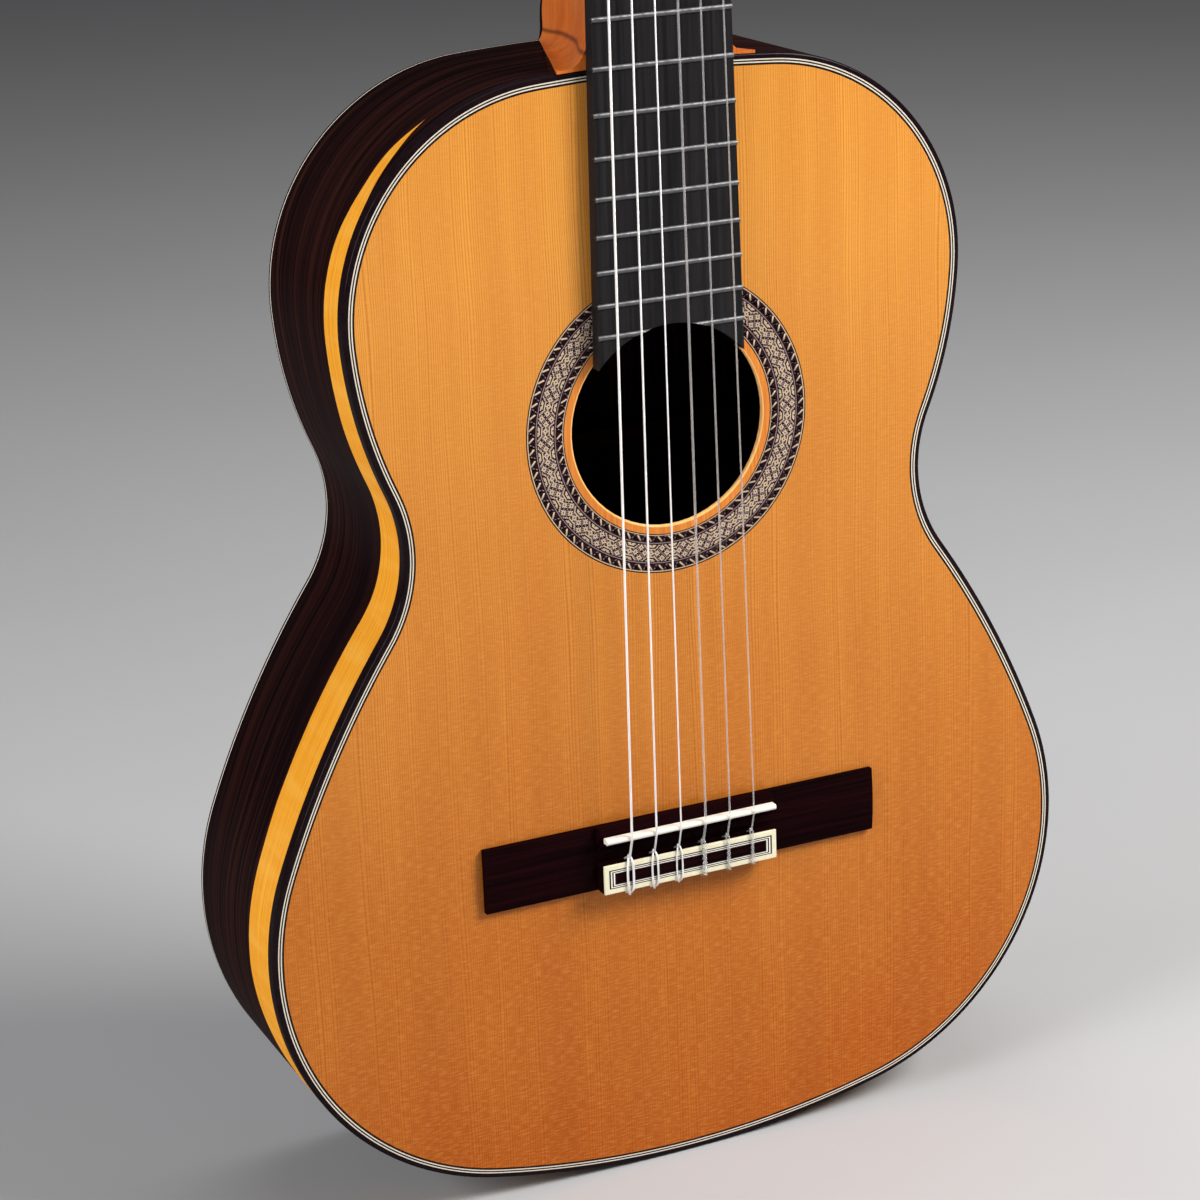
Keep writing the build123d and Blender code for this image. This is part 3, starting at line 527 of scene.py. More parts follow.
def loft(rings, closed=False):
    """Points, faces and corner places of a skin over a row of equal closed rings."""
    count = len(rings[0])
    points = [point for ring in rings for point in ring]
    around = [0.0]
    for first, second in zip(rings[0], rings[0][1:] + rings[0][:1]):
        around.append(around[-1] + (Vector(second) - Vector(first)).length)
    along = [0.0]
    for first, second in zip(rings, rings[1:] + rings[:1]):
        along.append(along[-1] + (Vector(second[0]) - Vector(first[0])).length)
    faces, uvs = [], []
    for i in range(len(rings) if closed else len(rings) - 1):
        low, high = i * count, (i + 1) % len(rings) * count
        for j in range(count):
            k = (j + 1) % count
            faces.append([low + j, high + j, high + k, low + k])
            uvs += [(along[i], around[j]), (along[i + 1], around[j]),
                    (along[i + 1], around[j + 1]), (along[i], around[j + 1])]
    if not closed:
        for first in (0, (len(rings) - 1) * count):
            faces.append(list(range(first, first + count)))
            uvs += [(0.0, 0.0)] * count
    return points, faces, uvs


def copy_cad(node):
    """A new mesh for a CAD node's shape, and that shape with its doubled corners joined."""
    source = frame["nodes"][node].data
    mesh = bpy.data.meshes.new(node)
    mesh.from_pydata([v.co for v in source.vertices], [], [list(f.vertices) for f in source.polygons])
    model = bmesh.new()
    model.from_mesh(mesh)
    bmesh.ops.remove_doubles(model, verts=model.verts, dist=WELD * MM)
    return mesh, model


def round_edges(model, edges, width, segments):
    """Rounds edges of a shape, to a width in millimetres."""
    bmesh.ops.bevel(model, geom=edges, offset=width * MM, segments=segments, profile=0.5,
                    affect="EDGES", clamp_overlap=True)


def soften(node, width, material, slot, segments=3):
    """A CAD node's own shape with its sharp edges rounded, standing for that node."""
    mesh, model = copy_cad(node)
    bmesh.ops.dissolve_limit(model, angle_limit=radians(FLAT_ANGLE), verts=model.verts, edges=model.edges)
    edges = [e for e in model.edges if e.is_manifold and e.calc_face_angle() > radians(SOFTEN_ANGLE)]
    round_edges(model, edges, width, segments)
    close_model(model, mesh, SOFTEN_ANGLE)
    body = frame["nodes"][node]["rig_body"]
    keep_flats_flat(add_piece(node + "_finished", mesh, material, slot, [node], body))


def repaint(node, material):
    """Gives a CAD node a better material."""
    materials = frame["nodes"][node].data.materials
    materials.clear()
    materials.append(material)


def evenly(start, end, steps):
    """Even steps from one number or point to another, with both ends."""
    return [start + (end - start) * (step / steps) for step in range(steps + 1)]


# ---------------------------------------------------------------- body outline


def outline_arcs():
    """Signed radius, start angle and end angle of each arc of the half outline."""
    ends = [0.0]
    for turn in ARC_TURNS:
        ends.append(ends[-1] + radians(turn))
    ends[-1] = pi
    spans = list(zip(ends, ends[1:]))
    run_x = [sin(b) - sin(a) for a, b in spans]
    run_z = [cos(a) - cos(b) for a, b in spans]
    rest_x = -sum(r * run for r, run in zip(INNER_RADII, run_x[1:]))
    rest_z = BODY_JOINT_Z - TAIL_Z - sum(r * run for r, run in zip(INNER_RADII, run_z[1:]))
    scale = run_x[0] * run_z[-1] - run_x[-1] * run_z[0]
    tail = (rest_x * run_z[-1] - run_x[-1] * rest_z) / scale
    shoulder = (run_x[0] * rest_z - rest_x * run_z[0]) / scale
    return [(r, a, b) for r, (a, b) in zip([tail, *INNER_RADII, shoulder], spans)]


def half_outline():
    """Samples of the treble half, from the tail to the neck: x, z, heading and length so far."""
    samples = []
    x, z, run = 0.0, TAIL_Z, 0.0
    for radius, start, end in outline_arcs():
        steps = ceil(radius * (end - start) / OUTLINE_STEP)
        for angle in evenly(start, end, steps):
            away = radius * (sin(angle) - sin(start))
            climb = radius * (cos(start) - cos(angle))
            samples.append((x + away, z + climb, angle, run + radius * (angle - start)))
        x, z, _, run = samples.pop()
    return [*samples, (0.0, BODY_JOINT_Z, pi, run)]


OUTLINE = half_outline()
OUTLINE_LENGTH = OUTLINE[-1][3]


def back_depth(x, z):
    """Depth of the outside of the domed back."""
    across = x * x + (z - BACK_PEAK_Z) ** 2
    return BACK_DEPTH - BACK_RADIUS + sqrt(BACK_RADIUS ** 2 - across)


def edge_ring(sample, side, section):
    """One cross-section of a strip on the body's edge. section(back) gives inset and depth pairs,
    where back is the depth of the back at the edge."""
    x, z, angle, _ = sample
    return [
        (side * (x - inset * sin(angle)), depth, z + inset * cos(angle))
        for inset, depth in section(back_depth(x, z))
    ]


def whole_edge(name, section, material, slot, replaces=()):
    """A strip that runs all the way round the body."""
    rings = [edge_ring(sample, 1, section) for sample in OUTLINE]
    rings += [edge_ring(sample, -1, section) for sample in reversed(OUTLINE[1:-1])]
    add_shape(name, loft(rings, closed=True), material, slot, replaces)


# ---------------------------------------------------------------- sound box

PURFLING = [("light", 0.5), ("dark", 0.62), ("light", 0.52), ("dark", 0.86)]
BACK_PURFLING = [("light", 0.6), ("dark", 0.3), ("light", 0.6)]
INLAY_DEPTH = 1.5
EDGE_ROUND = 1.1
SIDE_LINE = 0.7
RIM_ROUND = 0.8
BACK_EDGE = 2.15
LINE_LOOKS = {"light": MAPLE, "dark": BLACK_LINE}


def make_soundboard():
    """The CAD soundboard with the rim of its soundhole rounded over and given paler cedar, a painted
    highlight.
    """
    mesh, model = copy_cad("soundboard")
    centre = at(0, 0, HOLE_Z)

    def reach(place):
        return hypot(place.x - centre.x, place.z - centre.z) / MM

    def on_rim(edge):
        return all(abs(reach(end.co) - HOLE_RADIUS) < 0.1 for end in edge.verts)

    rim = [e for e in model.edges if on_rim(e) and e.calc_face_angle(0) > radians(60)]
    round_edges(model, rim, RIM_ROUND, 4)
    for face in model.faces:
        middle = face.calc_center_median()
        near_hole = reach(middle) < ROSETTE_INNER + 0.1 and middle.y < centre.y + TOP_THICKNESS * MM
        rounded = reach(middle) < HOLE_RADIUS + RIM_ROUND and abs(face.normal.y) < 0.995
        # faces of the rounded rim take the paler cedar, a painted highlight along the soundhole's edge
        face.material_index = (2 if rounded else 1) if near_hole else 0
    close_model(model, mesh, SHARP_ANGLE)
    cedars = [CEDAR, CEDAR_RING, CEDAR_RIM_HIGHLIGHT]
    keep_flats_flat(add_piece("cedar_soundboard", mesh, cedars, "top_wood", ["soundboard"]))


def rounded_corner(face, inward):
    """Points that round the outer corner of an edge strip, whose face lies at a depth."""
    return [
        (EDGE_ROUND * (1 - cos(t * pi / 8)), face + inward * EDGE_ROUND * (1 - sin(t * pi / 8)))
        for t in range(5)
    ]


def top_binding(back):
    """Section of the top binding, with its outer edge rounded over."""
    low = BINDING_HEIGHT
    return [*rounded_corner(0, 1), (BINDING_WIDTH, 0), (BINDING_WIDTH, low), (0, low)]


def back_binding(back):
    """Section of the back binding, with its outer edge rounded over."""
    low = back - BACK_EDGE
    return [*rounded_corner(back, -1), (BINDING_WIDTH, back), (BINDING_WIDTH, low), (0, low)]


def side_line_highlight(back):
    """Section of the fine maple line between the ribs and the back binding, which also stands in for the
    highlight along the back's edge: partly a painted highlight.
    """
    low, high = back - BACK_EDGE - SIDE_LINE, back - BACK_EDGE
    return [(0, low), (0, high), (RIB_THICKNESS, high), (RIB_THICKNESS, low)]


def make_purfling(name, lines, node, on_back):
    """Fine lines side by side inside a binding, let into the soundboard or the back."""
    low = BINDING_WIDTH
    for number, (tone, width) in enumerate(lines):
        high = low + width

        def section(back):
            face, under = (back, back - INLAY_DEPTH) if on_back else (0, INLAY_DEPTH)
            return [(low, face), (high, face), (high, under), (low, under)]

        replaced = [node] if number == 0 else ()
        whole_edge(f"{name}_{number + 1}", section, LINE_LOOKS[tone], "purfling", replaced)
        low = high


def make_edges():
    """Bindings, purfling lines and the fine line between the ribs and the back binding, partly a painted
    highlight.
    """
    whole_edge("binding_top", top_binding, BINDING_WOOD, "rosewood", ["top_binding"])
    whole_edge("binding_back", back_binding, BINDING_WOOD, "rosewood", ["back_binding"])
    make_purfling("top_line", PURFLING, "top_purfling", False)
    make_purfling("back_line", BACK_PURFLING, "back_purfling", True)
    # this pale line partly stands in for the highlight along the back's edge: partly a painted highlight
    whole_edge("side_line_highlight", side_line_highlight, MAPLE, "purfling")


# the pale sapwood stripe on each rib: height on the body, and the depths of its front and back edge
SAPWOOD = [
    (-161, 4, 9), (-120, 5, 18), (-90, 5, 25), (-50, 5, 30.5), (0, 5, 29), (35, 5, 30), (90, 5, 29),
    (135, 5, 26.5), (187, 5, 24.5), (219, 5, 22), (264, 5, 20.3), (285, 7, 16.5), (299, 9.5, 16.5),
    (309, 13, 13.5), (325, 17, 12),
]


def sapwood(z):
    """Front and back edge of the sapwood stripe at a height, on smooth curves through its points."""
    index = min(sum(z > row[0] for row in SAPWOOD[1:]), len(SAPWOOD) - 2)
    first, second = SAPWOOD[index:index + 2]
    before = SAPWOOD[max(index - 1, 0)]
    after = SAPWOOD[min(index + 2, len(SAPWOOD) - 1)]
    span = second[0] - first[0]
    t = min(max((z - first[0]) / span, 0.0), 1.0)
    edges = []
    for edge in (1, 2):
        leave = (second[edge] - before[edge]) / (second[0] - before[0]) * span
        arrive = (after[edge] - first[edge]) / (after[0] - first[0]) * span
        climb = second[edge] - first[edge]
        curve = (leave + arrive - 2 * climb) * t + 3 * climb - 2 * leave - arrive
        edges.append(first[edge] + (leave + curve * t) * t)
    return edges


RIB_ROWS = 20
TAIL_STRIP_HALF = 4.5
HEEL_CORE_HALF = 10.0


def make_rib(name, node, side):
    """One bent rib, from the tail strip to the heel, with its distance from the sapwood's edges."""
    samples = [s for s in OUTLINE if TAIL_STRIP_HALF <= s[3] <= OUTLINE_LENGTH - HEEL_CORE_HALF]

    def section(back):
        end = back - BACK_EDGE - SIDE_LINE
        depths = evenly(BINDING_HEIGHT, end, RIB_ROWS)
        return [(0, depth) for depth in depths] + [(RIB_THICKNESS, depth) for depth in reversed(depths)]

    rings = [edge_ring(sample, side, section) for sample in samples]
    points, faces, uvs = loft(rings)
    for index, face in enumerate(faces[:-2]):
        start, end = (sample[3] for sample in samples[index // len(rings[0]):][:2])
        for corner, run in enumerate((start, end, end, start)):
            uvs[index * 4 + corner] = (run, points[face[corner]][1])
    mesh = make_mesh(name, points, faces, uvs)
    stripe = [sapwood(z) for _, _, z in points]
    below_front = [depth - front for (_, depth, _), (front, _) in zip(points, stripe)]
    above_back = [back - depth for (_, depth, _), (_, back) in zip(points, stripe)]
    for label, values in (("below_front", below_front), ("above_back", above_back)):
        mesh.attributes.new(label, "FLOAT", "POINT").data.foreach_set("value", values)
    add_piece(name, mesh, RIB_WOOD, "rosewood", [node])


BACK_COLUMNS = 14
BACK_STRIP_HALF = 3.0
BACK_CORE_HALF = 2.3
BACK_STRIP_STEPS = 60
TAIL_CORE_HALF = 3.7
TAIL_STRIP_STEPS = 4


def make_back_leaf(name, node, side):
    """One half of the domed back, from the centre strip to its purfling."""
    inset = BINDING_WIDTH + sum(width for _, width in BACK_PURFLING)
    rings = []
    for x, z, angle, _ in OUTLINE:
        edge_x = x - inset * sin(angle)
        edge_z = z + inset * cos(angle)
        if edge_x < BACK_STRIP_HALF + 1:
            continue
        places = evenly(BACK_STRIP_HALF, edge_x, BACK_COLUMNS)
        row = [(side * px, back_depth(px, edge_z), edge_z) for px in places]
        rings.append(row + [(px, py - BACK_THICKNESS, pz) for px, py, pz in reversed(row)])
    add_shape(name, loft(rings), ROSEWOOD, "rosewood", [node])


def make_back_strip():
    """The centre strip of the back: a dark core between two fine pale lines let into its outside."""
    bands = [(-BACK_CORE_HALF, BACK_CORE_HALF, 0.0, BACK_THICKNESS, ROSEWOOD)]
    for left, right in ((-BACK_STRIP_HALF, -BACK_CORE_HALF), (BACK_CORE_HALF, BACK_STRIP_HALF)):
        bands.append((left, right, 0.0, INLAY_DEPTH, MAPLE))
        bands.append((left, right, INLAY_DEPTH, BACK_THICKNESS, ROSEWOOD))
    low = TAIL_Z + BINDING_WIDTH
    high = BODY_JOINT_Z - BINDING_WIDTH
    for number, (left, right, top, bottom, material) in enumerate(bands):
        rings = []
        for z in evenly(low, high, BACK_STRIP_STEPS):
            y = back_depth(0, z)
            corners = ((left, top), (right, top), (right, bottom), (left, bottom))
            rings.append([(x, y - depth, z) for x, depth in corners])
        replaced = ["back_strip"] if number == 0 else ()
        add_shape(f"centre_strip_{number + 1}", loft(rings), material, "rosewood", replaced)


def make_tail_strip():
    """The strip that closes the ribs' joint at the tail, a dark core between two pale lines."""
    low, high = BINDING_HEIGHT, back_depth(0, TAIL_Z) - BACK_EDGE - SIDE_LINE
    tail_radius = outline_arcs()[0][0]
    places = [-TAIL_STRIP_HALF, -TAIL_CORE_HALF, TAIL_CORE_HALF, TAIL_STRIP_HALF]
    for number, material in enumerate((MAPLE, BINDING_WOOD, MAPLE)):
        left, right = places[number:number + 2]
        rings = []
        for x in evenly(left, right, TAIL_STRIP_STEPS):
            z = TAIL_Z + x * x / 2 / tail_radius
            inside = z + RIB_THICKNESS
            rings.append([(x, low, z), (x, high, z), (x, high, inside), (x, low, inside)])
        replaced = ["tail_strip"] if number == 1 else ()
        add_shape(f"tail_inlay_{number + 1}", loft(rings), material, "rosewood", replaced)


# ---------------------------------------------------------------- rosette

CREAM, DARK, GREY = 0, 1, 2
SEPARATOR = [("line", 0.4, DARK), ("line", 0.4, GREY), ("line", 0.5, DARK)]
ROSETTE_BANDS = [
    ("line", 0.4, DARK), ("line", 0.35, CREAM), ("rope", 2.6, None), *SEPARATOR, ("mosaic", 7.1, None),
    *SEPARATOR, ("rope", 2.75, None), ("line", 0.45, CREAM), ("line", 0.5, DARK),
]
LINE_STEPS = 240
ROPE_PITCH = 4.9
ROPE_LEAN = 0.52
ROPE_ARM = 0.2
ROPE_CHECKS = 4
ROPE_LANES = ((0.2, 0.9), (0.9, 1.6))
MOTIFS = 34
MOTIF_COLUMNS = 18
MOSAIC_ROWS = 13


def polar(radius, turn):
    """A point of the rosette's face, with the angle as a part of a full turn."""
    angle = turn * 2 * pi
    return radius * sin(angle), 0.0, HOLE_Z + radius * cos(angle)


def line_cells(inner, outer, tone):
    """A plain ring."""
    for step in range(LINE_STEPS):
        start, end = step / LINE_STEPS, (step + 1) / LINE_STEPS
        yield [(inner, start), (outer, start), (outer, end), (inner, end)], tone


def rope_cells(inner, outer):
    """Zigzag of solid cream slashes and chequered return slashes between dark triangles."""
    turns = round(pi * (inner + outer) / ROPE_PITCH)

    def cell(corners, tone):
        return [(inner + (outer - inner) * r, (turn - t) / turns) for r, t in corners], tone

    top = ROPE_LEAN + ROPE_ARM
    lean = 1 - ROPE_LEAN - 0.5 * ROPE_ARM
    for turn in range(turns):
        yield cell([(0, 0), (1, ROPE_LEAN), (1, top), (0, ROPE_ARM)], CREAM)
        yield cell([(0, ROPE_ARM), (1, top), (0, 1 - ROPE_ARM)], DARK)
        yield cell([(1, top), (1, 1 + ROPE_LEAN), (0, 1)], DARK)
        for step in range(ROPE_CHECKS):
            low, high = step / ROPE_CHECKS, (step + 1) / ROPE_CHECKS
            for lane, (near, far) in enumerate(ROPE_LANES):
                ends = ((low, near), (low, far), (high, far), (high, near))
                corners = [(1 - run, ROPE_LEAN + lean * run + ROPE_ARM * reach) for run, reach in ends]
                yield cell(corners, GREY if (step + lane) % 2 else DARK)


def mosaic_tone(row, column):
    """Which wood a tile of the middle band is: flowers of four ringed diamonds, and leaves between."""
    r = row - MOSAIC_ROWS // 2
    for centre_r, centre_c in ((0, 4), (0, 12), (-4, 8), (4, 8), (0, 17), (0, -1)):
        away = abs(r - centre_r) + abs(column - centre_c)
        if away <= 2:
            return DARK if away == 0 else CREAM
    edge = MOSAIC_ROWS // 2 - abs(r)
    along = min(abs(column - 17), abs(column + 1))
    if edge <= 3 and edge + along <= 6:
        if edge == 3 or edge + along == 6:
            return CREAM
        return CREAM if edge <= 1 and 1 <= edge + along <= 3 else DARK
    return GREY if (r + column) % 4 == 0 else DARK


def mosaic_cells(inner, outer):
    """The middle band, tile by tile."""
    columns = MOTIFS * MOTIF_COLUMNS
    height = (outer - inner) / MOSAIC_ROWS
    for row in range(MOSAIC_ROWS):
        low, high = inner + row * height, inner + (row + 1) * height
        for column in range(columns):
            start, end = column / columns, (column + 1) / columns
            tone = mosaic_tone(row, column % MOTIF_COLUMNS)
            yield [(low, start), (high, start), (high, end), (low, end)], tone


def make_ring(name, cells, replaces):
    """One ring of tiles that share their corners, as deep as the rosette."""
    points, index_of, faces, looks = [], {}, [], []
    for corners, look in cells:
        face = []
        for radius, turn in corners:
            key = (round(radius, 4), round(turn % 1.0, 6))
            if key not in index_of:
                index_of[key] = len(points)
                points.append(polar(radius, turn))
            face.append(index_of[key])
        faces.append(face)
        looks.append(look)
    mesh = make_mesh(name, points, faces, looks=looks)
    piece = add_piece(name, mesh, [CREAM_TILE, DARK_TILE, GREY_TILE], "mosaic", replaces)
    depth = piece.modifiers.new("depth", "SOLIDIFY")
    depth.thickness = ROSETTE_DEPTH * MM
    depth.offset = 1.0 if mesh.polygons[0].normal.y > 0 else -1.0


def make_rosette():
    """The whole inlay as rings of separate tiles, let into the soundboard."""
    scale = (ROSETTE_OUTER - ROSETTE_INNER) / sum(width for _, width, _ in ROSETTE_BANDS)
    inner = ROSETTE_INNER
    for number, (kind, width, tone) in enumerate(ROSETTE_BANDS):
        outer = inner + width * scale
        if kind == "line":
            cells = line_cells(inner, outer, tone)
        else:
            cells = rope_cells(inner, outer) if kind == "rope" else mosaic_cells(inner, outer)
        make_ring(f"rosette_{kind}_{number}", cells, ["rosette"] if kind == "mosaic" else ())
        inner = outer


# ---------------------------------------------------------------- bridge

BONE_FRAME_WIDTH = 2.3
INLAY_LINES = 5
INLAY_LINE_WIDTH = 0.4
INLAY_LINE_END = 0.65


def rectangle(half, low, high, y):
    """Corners of an upright rectangle at a depth."""
    return [(-half, y, low), (half, y, low), (half, y, high), (-half, y, high)]


def make_inlay():
    """The tie block's inlay: a bone frame, fine black and white lines, and a rosewood panel."""
    top, bottom = -TIE_TOP, local_box("tie_block_inlay")[1].y
    layers = [("bone_frame", BONE_FRAME_WIDTH, BONE_FRAME_WIDTH, CREAM_BONE)]
    for n in range(INLAY_LINES):
        layers.append((f"inlay_line_{n + 1}", INLAY_LINE_WIDTH, INLAY_LINE_END, (BLACK_LINE, BONE)[n % 2]))
    outer = (TIE_HALF, TIE_BACK, TIE_FRONT)
    for name, width, end, material in layers:
        inner = (outer[0] - end, outer[1] + width, outer[2] - width)
        edges = ((outer, top), (inner, top), (inner, bottom), (outer, bottom))
        shape = loft([rectangle(*edge, y) for edge, y in edges], closed=True)
        piece = add_shape(name, shape, material, "inlay")
        if name == "bone_frame":
            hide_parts("tie_block_inlay")
            bevel = piece.modifiers.new("worn edge", "BEVEL")
            bevel.width = 0.25 * MM
            bevel.segments = 3
            bevel.limit_method = "ANGLE"
        outer = inner
    panel = loft([rectangle(*outer, y) for y in (top, bottom)])
    add_shape("inlay_panel", panel, BRIDGE_WOOD, "inlay")


# ---------------------------------------------------------------- strings

LOOP_SPREAD = 1.35
TWISTS = 2.5
TWIST_STEPS = 24
SPAN_STEPS = 26
COIL_END = 0.96


def spline(points, step):
    """Evenly eased points on a smooth curve through the given ones."""
    def knot(start, end):
        return sqrt(max((end - start).length, 1e-6))

    def blend(start, end, t, low, high):
        return start * ((high - t) / (high - low)) + end * ((t - low) / (high - low))

    ends = [points[0] * 2 - points[1], *points, points[-1] * 2 - points[-2]]
    made = []
    for before, first, second, after in zip(ends, ends[1:], ends[2:], ends[3:]):
        count = max(2, min(24, ceil((second - first).length / step)))
        t1 = knot(before, first)
        t2 = t1 + knot(first, second)
        t3 = t2 + knot(second, after)
        for k in range(count):
            t = t1 + (t2 - t1) * k / count
            middle = blend(first, second, t, t1, t2)
            low = blend(blend(before, first, t, 0.0, t1), middle, t, 0.0, t2)
            high = blend(middle, blend(second, after, t, t2, t3), t, t1, t3)
            made.append(blend(low, high, t, t1, t2))
    return [*made, points[-1].copy()]


def tube_rings(path, radius, sides):
    """Round sections along a path, turned as little as possible from one to the next."""
    rings = []
    side = None
    for index, point in enumerate(path):
        ahead = path[min(index + 1, len(path) - 1)] - path[max(index - 1, 0)]
        ahead.normalize()
        if side is None:
            side = ahead.orthogonal()
        side = (side - ahead * side.dot(ahead)).normalized()
        other = ahead.cross(side)
        rings.append([
            tuple(point + (side * cos(2 * pi * k / sides) + other * sin(2 * pi * k / sides)) * radius)
            for k in range(sides)
        ])
    return rings


def make_tube(name, path, radius, material, slot, replaces=(), body="root", sides=12):
    """A round cord along points in the row frame, in millimetres."""
    shape = loft(tube_rings(path, radius, sides))
    add_shape(name, shape, material, slot, replaces, body, place=lambda *p: Vector(p) * MM, sharp=60)


def side_of(number):
    """-1 for a bass string and its machine, 1 for a treble one."""
    return -1 if number in BASS_STRINGS else 1


def string_x(number, spacing):
    """Sideways place of a string where the strings lie a spacing apart."""
    return (3.5 - number) * spacing


def roller_place(number):
    """Height of a string's roller on the headstock."""
    return ROLLER_Z[6 - number if number in BASS_STRINGS else number - 1]


def roller_touch(number, radius):
    """Angle at which a string meets its roller, from the headstock's up towards its back."""
    nut_y = -(NUT_ACTION + radius) * cos(radians(HEAD_ANGLE))
    nut_z = -(NUT_ACTION + radius) * sin(radians(HEAD_ANGLE))
    run = roller_place(number) - nut_z
    drop = ROLLER_Y - nut_y
    reach = ROLLER_RADIUS + radius
    return atan2(-drop, -run) + acos(reach / hypot(run, drop))


def bass_loop(point, radius, behind, over):
    """The loop of a wound string over the tie block: its tail's side, and the side that leads on."""
    strand = [
        (0.8 * LOOP_SPREAD, over, TIE_BACK + 0.6), (LOOP_SPREAD, over, -20), (LOOP_SPREAD, over, -16),
        (0.85 * LOOP_SPREAD, over, TIE_FRONT - 0.6), (0.75, 9.6, -10.2),
    ]
    tail = [(-1.9, 8.2, behind), (-0.7, 8.5, behind), (0.35, 9.1, behind), *strand]
    lead = [(-dx, height, z) for dx, height, z in reversed(strand)]
    lead += [(-0.25, 9.0, behind - 1.9 * radius), (0, 7.2, behind - 1.6 * radius)]
    return [point(*place) for place in tail], [point(*place) for place in lead]


def treble_twist(point, radius, behind, over):
    """The twisted pair of a plain string over the tie block: its tail, and the strand that leads on."""
    axis = over + radius
    swing = 1.05 * radius
    first, second = [], []
    for t in evenly(0.0, 1.0, TWIST_STEPS):
        z = TIE_BACK + 0.9 + (TIE_FRONT - TIE_BACK - 1.8) * t
        angle = pi + TWISTS * 2 * pi * (1 - t)
        first.append(point(swing * cos(angle), axis + swing * sin(angle), z))
        second.append(point(-swing * cos(angle), axis - swing * sin(angle), z))
    tail = [point(1.6, 8.4, behind), point(1.0, 9.6, behind), *second, point(0.7, 9.6, -10.2)]
    return tail, [point(-0.7, 9.6, -10.2), *reversed(first), point(-0.2, 8.6, behind)]


def tied_loop(number, x, radius):
    """The string's end at the bridge, from its tail to the saddle's top."""
    def point(dx, height, z):
        return at(x + dx, -height, z) / MM

    behind = TIE_BACK - radius - 0.35
    knot = bass_loop if number in BASS_STRINGS else treble_twist
    tail, lead = knot(point, radius, behind, TIE_TOP + radius)
    return [
        *tail,
        point(0, 8.5, -8.75),
        *lead,
        point(0, TIE_HOLE_HEIGHT + 1.2, behind - 0.1),
        point(0, TIE_HOLE_HEIGHT, TIE_BACK + 0.4),
        point(0, TIE_HOLE_HEIGHT, -18),
        point(0, TIE_HOLE_HEIGHT + 0.2, TIE_FRONT - 0.2),
        point(0, 7.6, -10.2),
        point(0, 9.55, -9.1),
        point(0, 10.1, -7.6),
        point(0, SADDLE_ACTION + radius - 0.5, -1.6),
    ]


def make_string(number):
    """A string from its tied end over saddle and nut to its roller, and its turns on the roller."""
    radius = STRING_RADIUS[number]
    side = side_of(number)
    material, slot = (WOUND, "bass_string") if side < 0 else (NYLON, "treble_string")
    x = string_x(number, BRIDGE_SPACING)
    nut_x = string_x(number, NUT_SPACING)
    nut_y = -(NUT_ACTION + radius)
    sideways = side * STRING_X[number]
    angle = roller_touch(number, radius)
    reach = ROLLER_RADIUS + radius + 0.02
    z = roller_place(number)

    def on_roller(place, turn, distance):
        return at_head(place, ROLLER_Y + distance * sin(turn), z + distance * cos(turn)) / MM

    path = spline(tied_loop(number, x, radius), 0.35)
    path += [at(x, -(SADDLE_ACTION + radius), height) / MM for height in (-0.6, 0.5)]
    path += evenly(path[-1], at(nut_x, nut_y, HEAD_START_Z - 2.0) / MM, SPAN_STEPS)[1:]
    path.append(at(nut_x, nut_y + 0.12, HEAD_START_Z + 0.2) / MM)
    path += evenly(path[-1], on_roller(sideways, angle, reach), 6)[1:]
    make_tube(f"string_{number}_span", path, radius, material, slot, [f"string_{number}"])

    coil = []
    for t in evenly(0.0, 1.0, COIL_TURNS * 20):
        sink = max(0.0, t - COIL_END) / (1 - COIL_END) * (radius + 0.4)
        shift = sideways - side * 2.06 * radius * COIL_TURNS * t
        coil.append(on_roller(shift, angle + t * COIL_TURNS * 2 * pi, reach - sink))
    make_tube(f"string_{number}_coil", coil, radius, material, slot, (), f"roller_{number}", 10)


# ---------------------------------------------------------------- tuning machines


def circle(sides, across, along):
    """Pairs round an ellipse, from its half widths."""
    angles = [2 * pi * k / sides for k in range(sides)]
    return [(across * sin(angle), along * cos(angle)) for angle in angles]


def turned(name, profile, number, material, slot, replaces=()):
    """A turned piece on a roller's axis, from pairs of distance along it and radius."""
    side, z = side_of(number), roller_place(number)
    rings = [[(x, across, up) for across, up in circle(40, radius, radius)] for x, radius in profile]

    def place(x, across, up):
        return at_head(side * x, ROLLER_Y + across, z + up)

    add_shape(name, loft(rings), material, slot, replaces, f"roller_{number}", place=place)


def make_roller(number):
    """The pale sleeve that takes the string, on its metal shaft."""
    sleeve = [(9.5, 2.95), (9.5, 4.5), (9.65, 4.85), (10.0, 5.0), (35.0, 5.0), (35.35, 4.85), (35.5, 4.5),
              (35.5, 2.95)]
    turned(f"roller_{number}_sleeve", sleeve, number, ROLLER_PLASTIC, "roller", [f"roller_{number}"])
    shaft = [(3.2, 2.3), (3.5, 2.8), (4.0, 2.9), (37.4, 2.9), (37.5, 2.4), (42.6, 2.4)]
    turned(f"roller_{number}_shaft", shaft, number, STEEL, "brass")


# a button's height above its seat and its half widths along X and Z, and its collar's place and radius
BUTTON_SECTIONS = [
    (0.0, 3.2, 2.9), (0.5, 3.55, 3.15), (2.0, 3.9, 3.2), (4.5, 5.0, 3.3), (7.5, 7.2, 3.8), (10.5, 8.5, 4.2),
    (13.0, 8.4, 4.1), (15.2, 7.4, 3.6), (16.4, 5.8, 2.9), (16.9, 3.4, 1.7), (17.0, 1.0, 0.5),
]
COLLAR = [(21.4, 1.6), (21.4, 2.5), (21.8, 2.9), (23.4, 2.9), (23.9, 2.5), (23.9, 1.6)]
BUTTON_SQUARENESS = 0.85


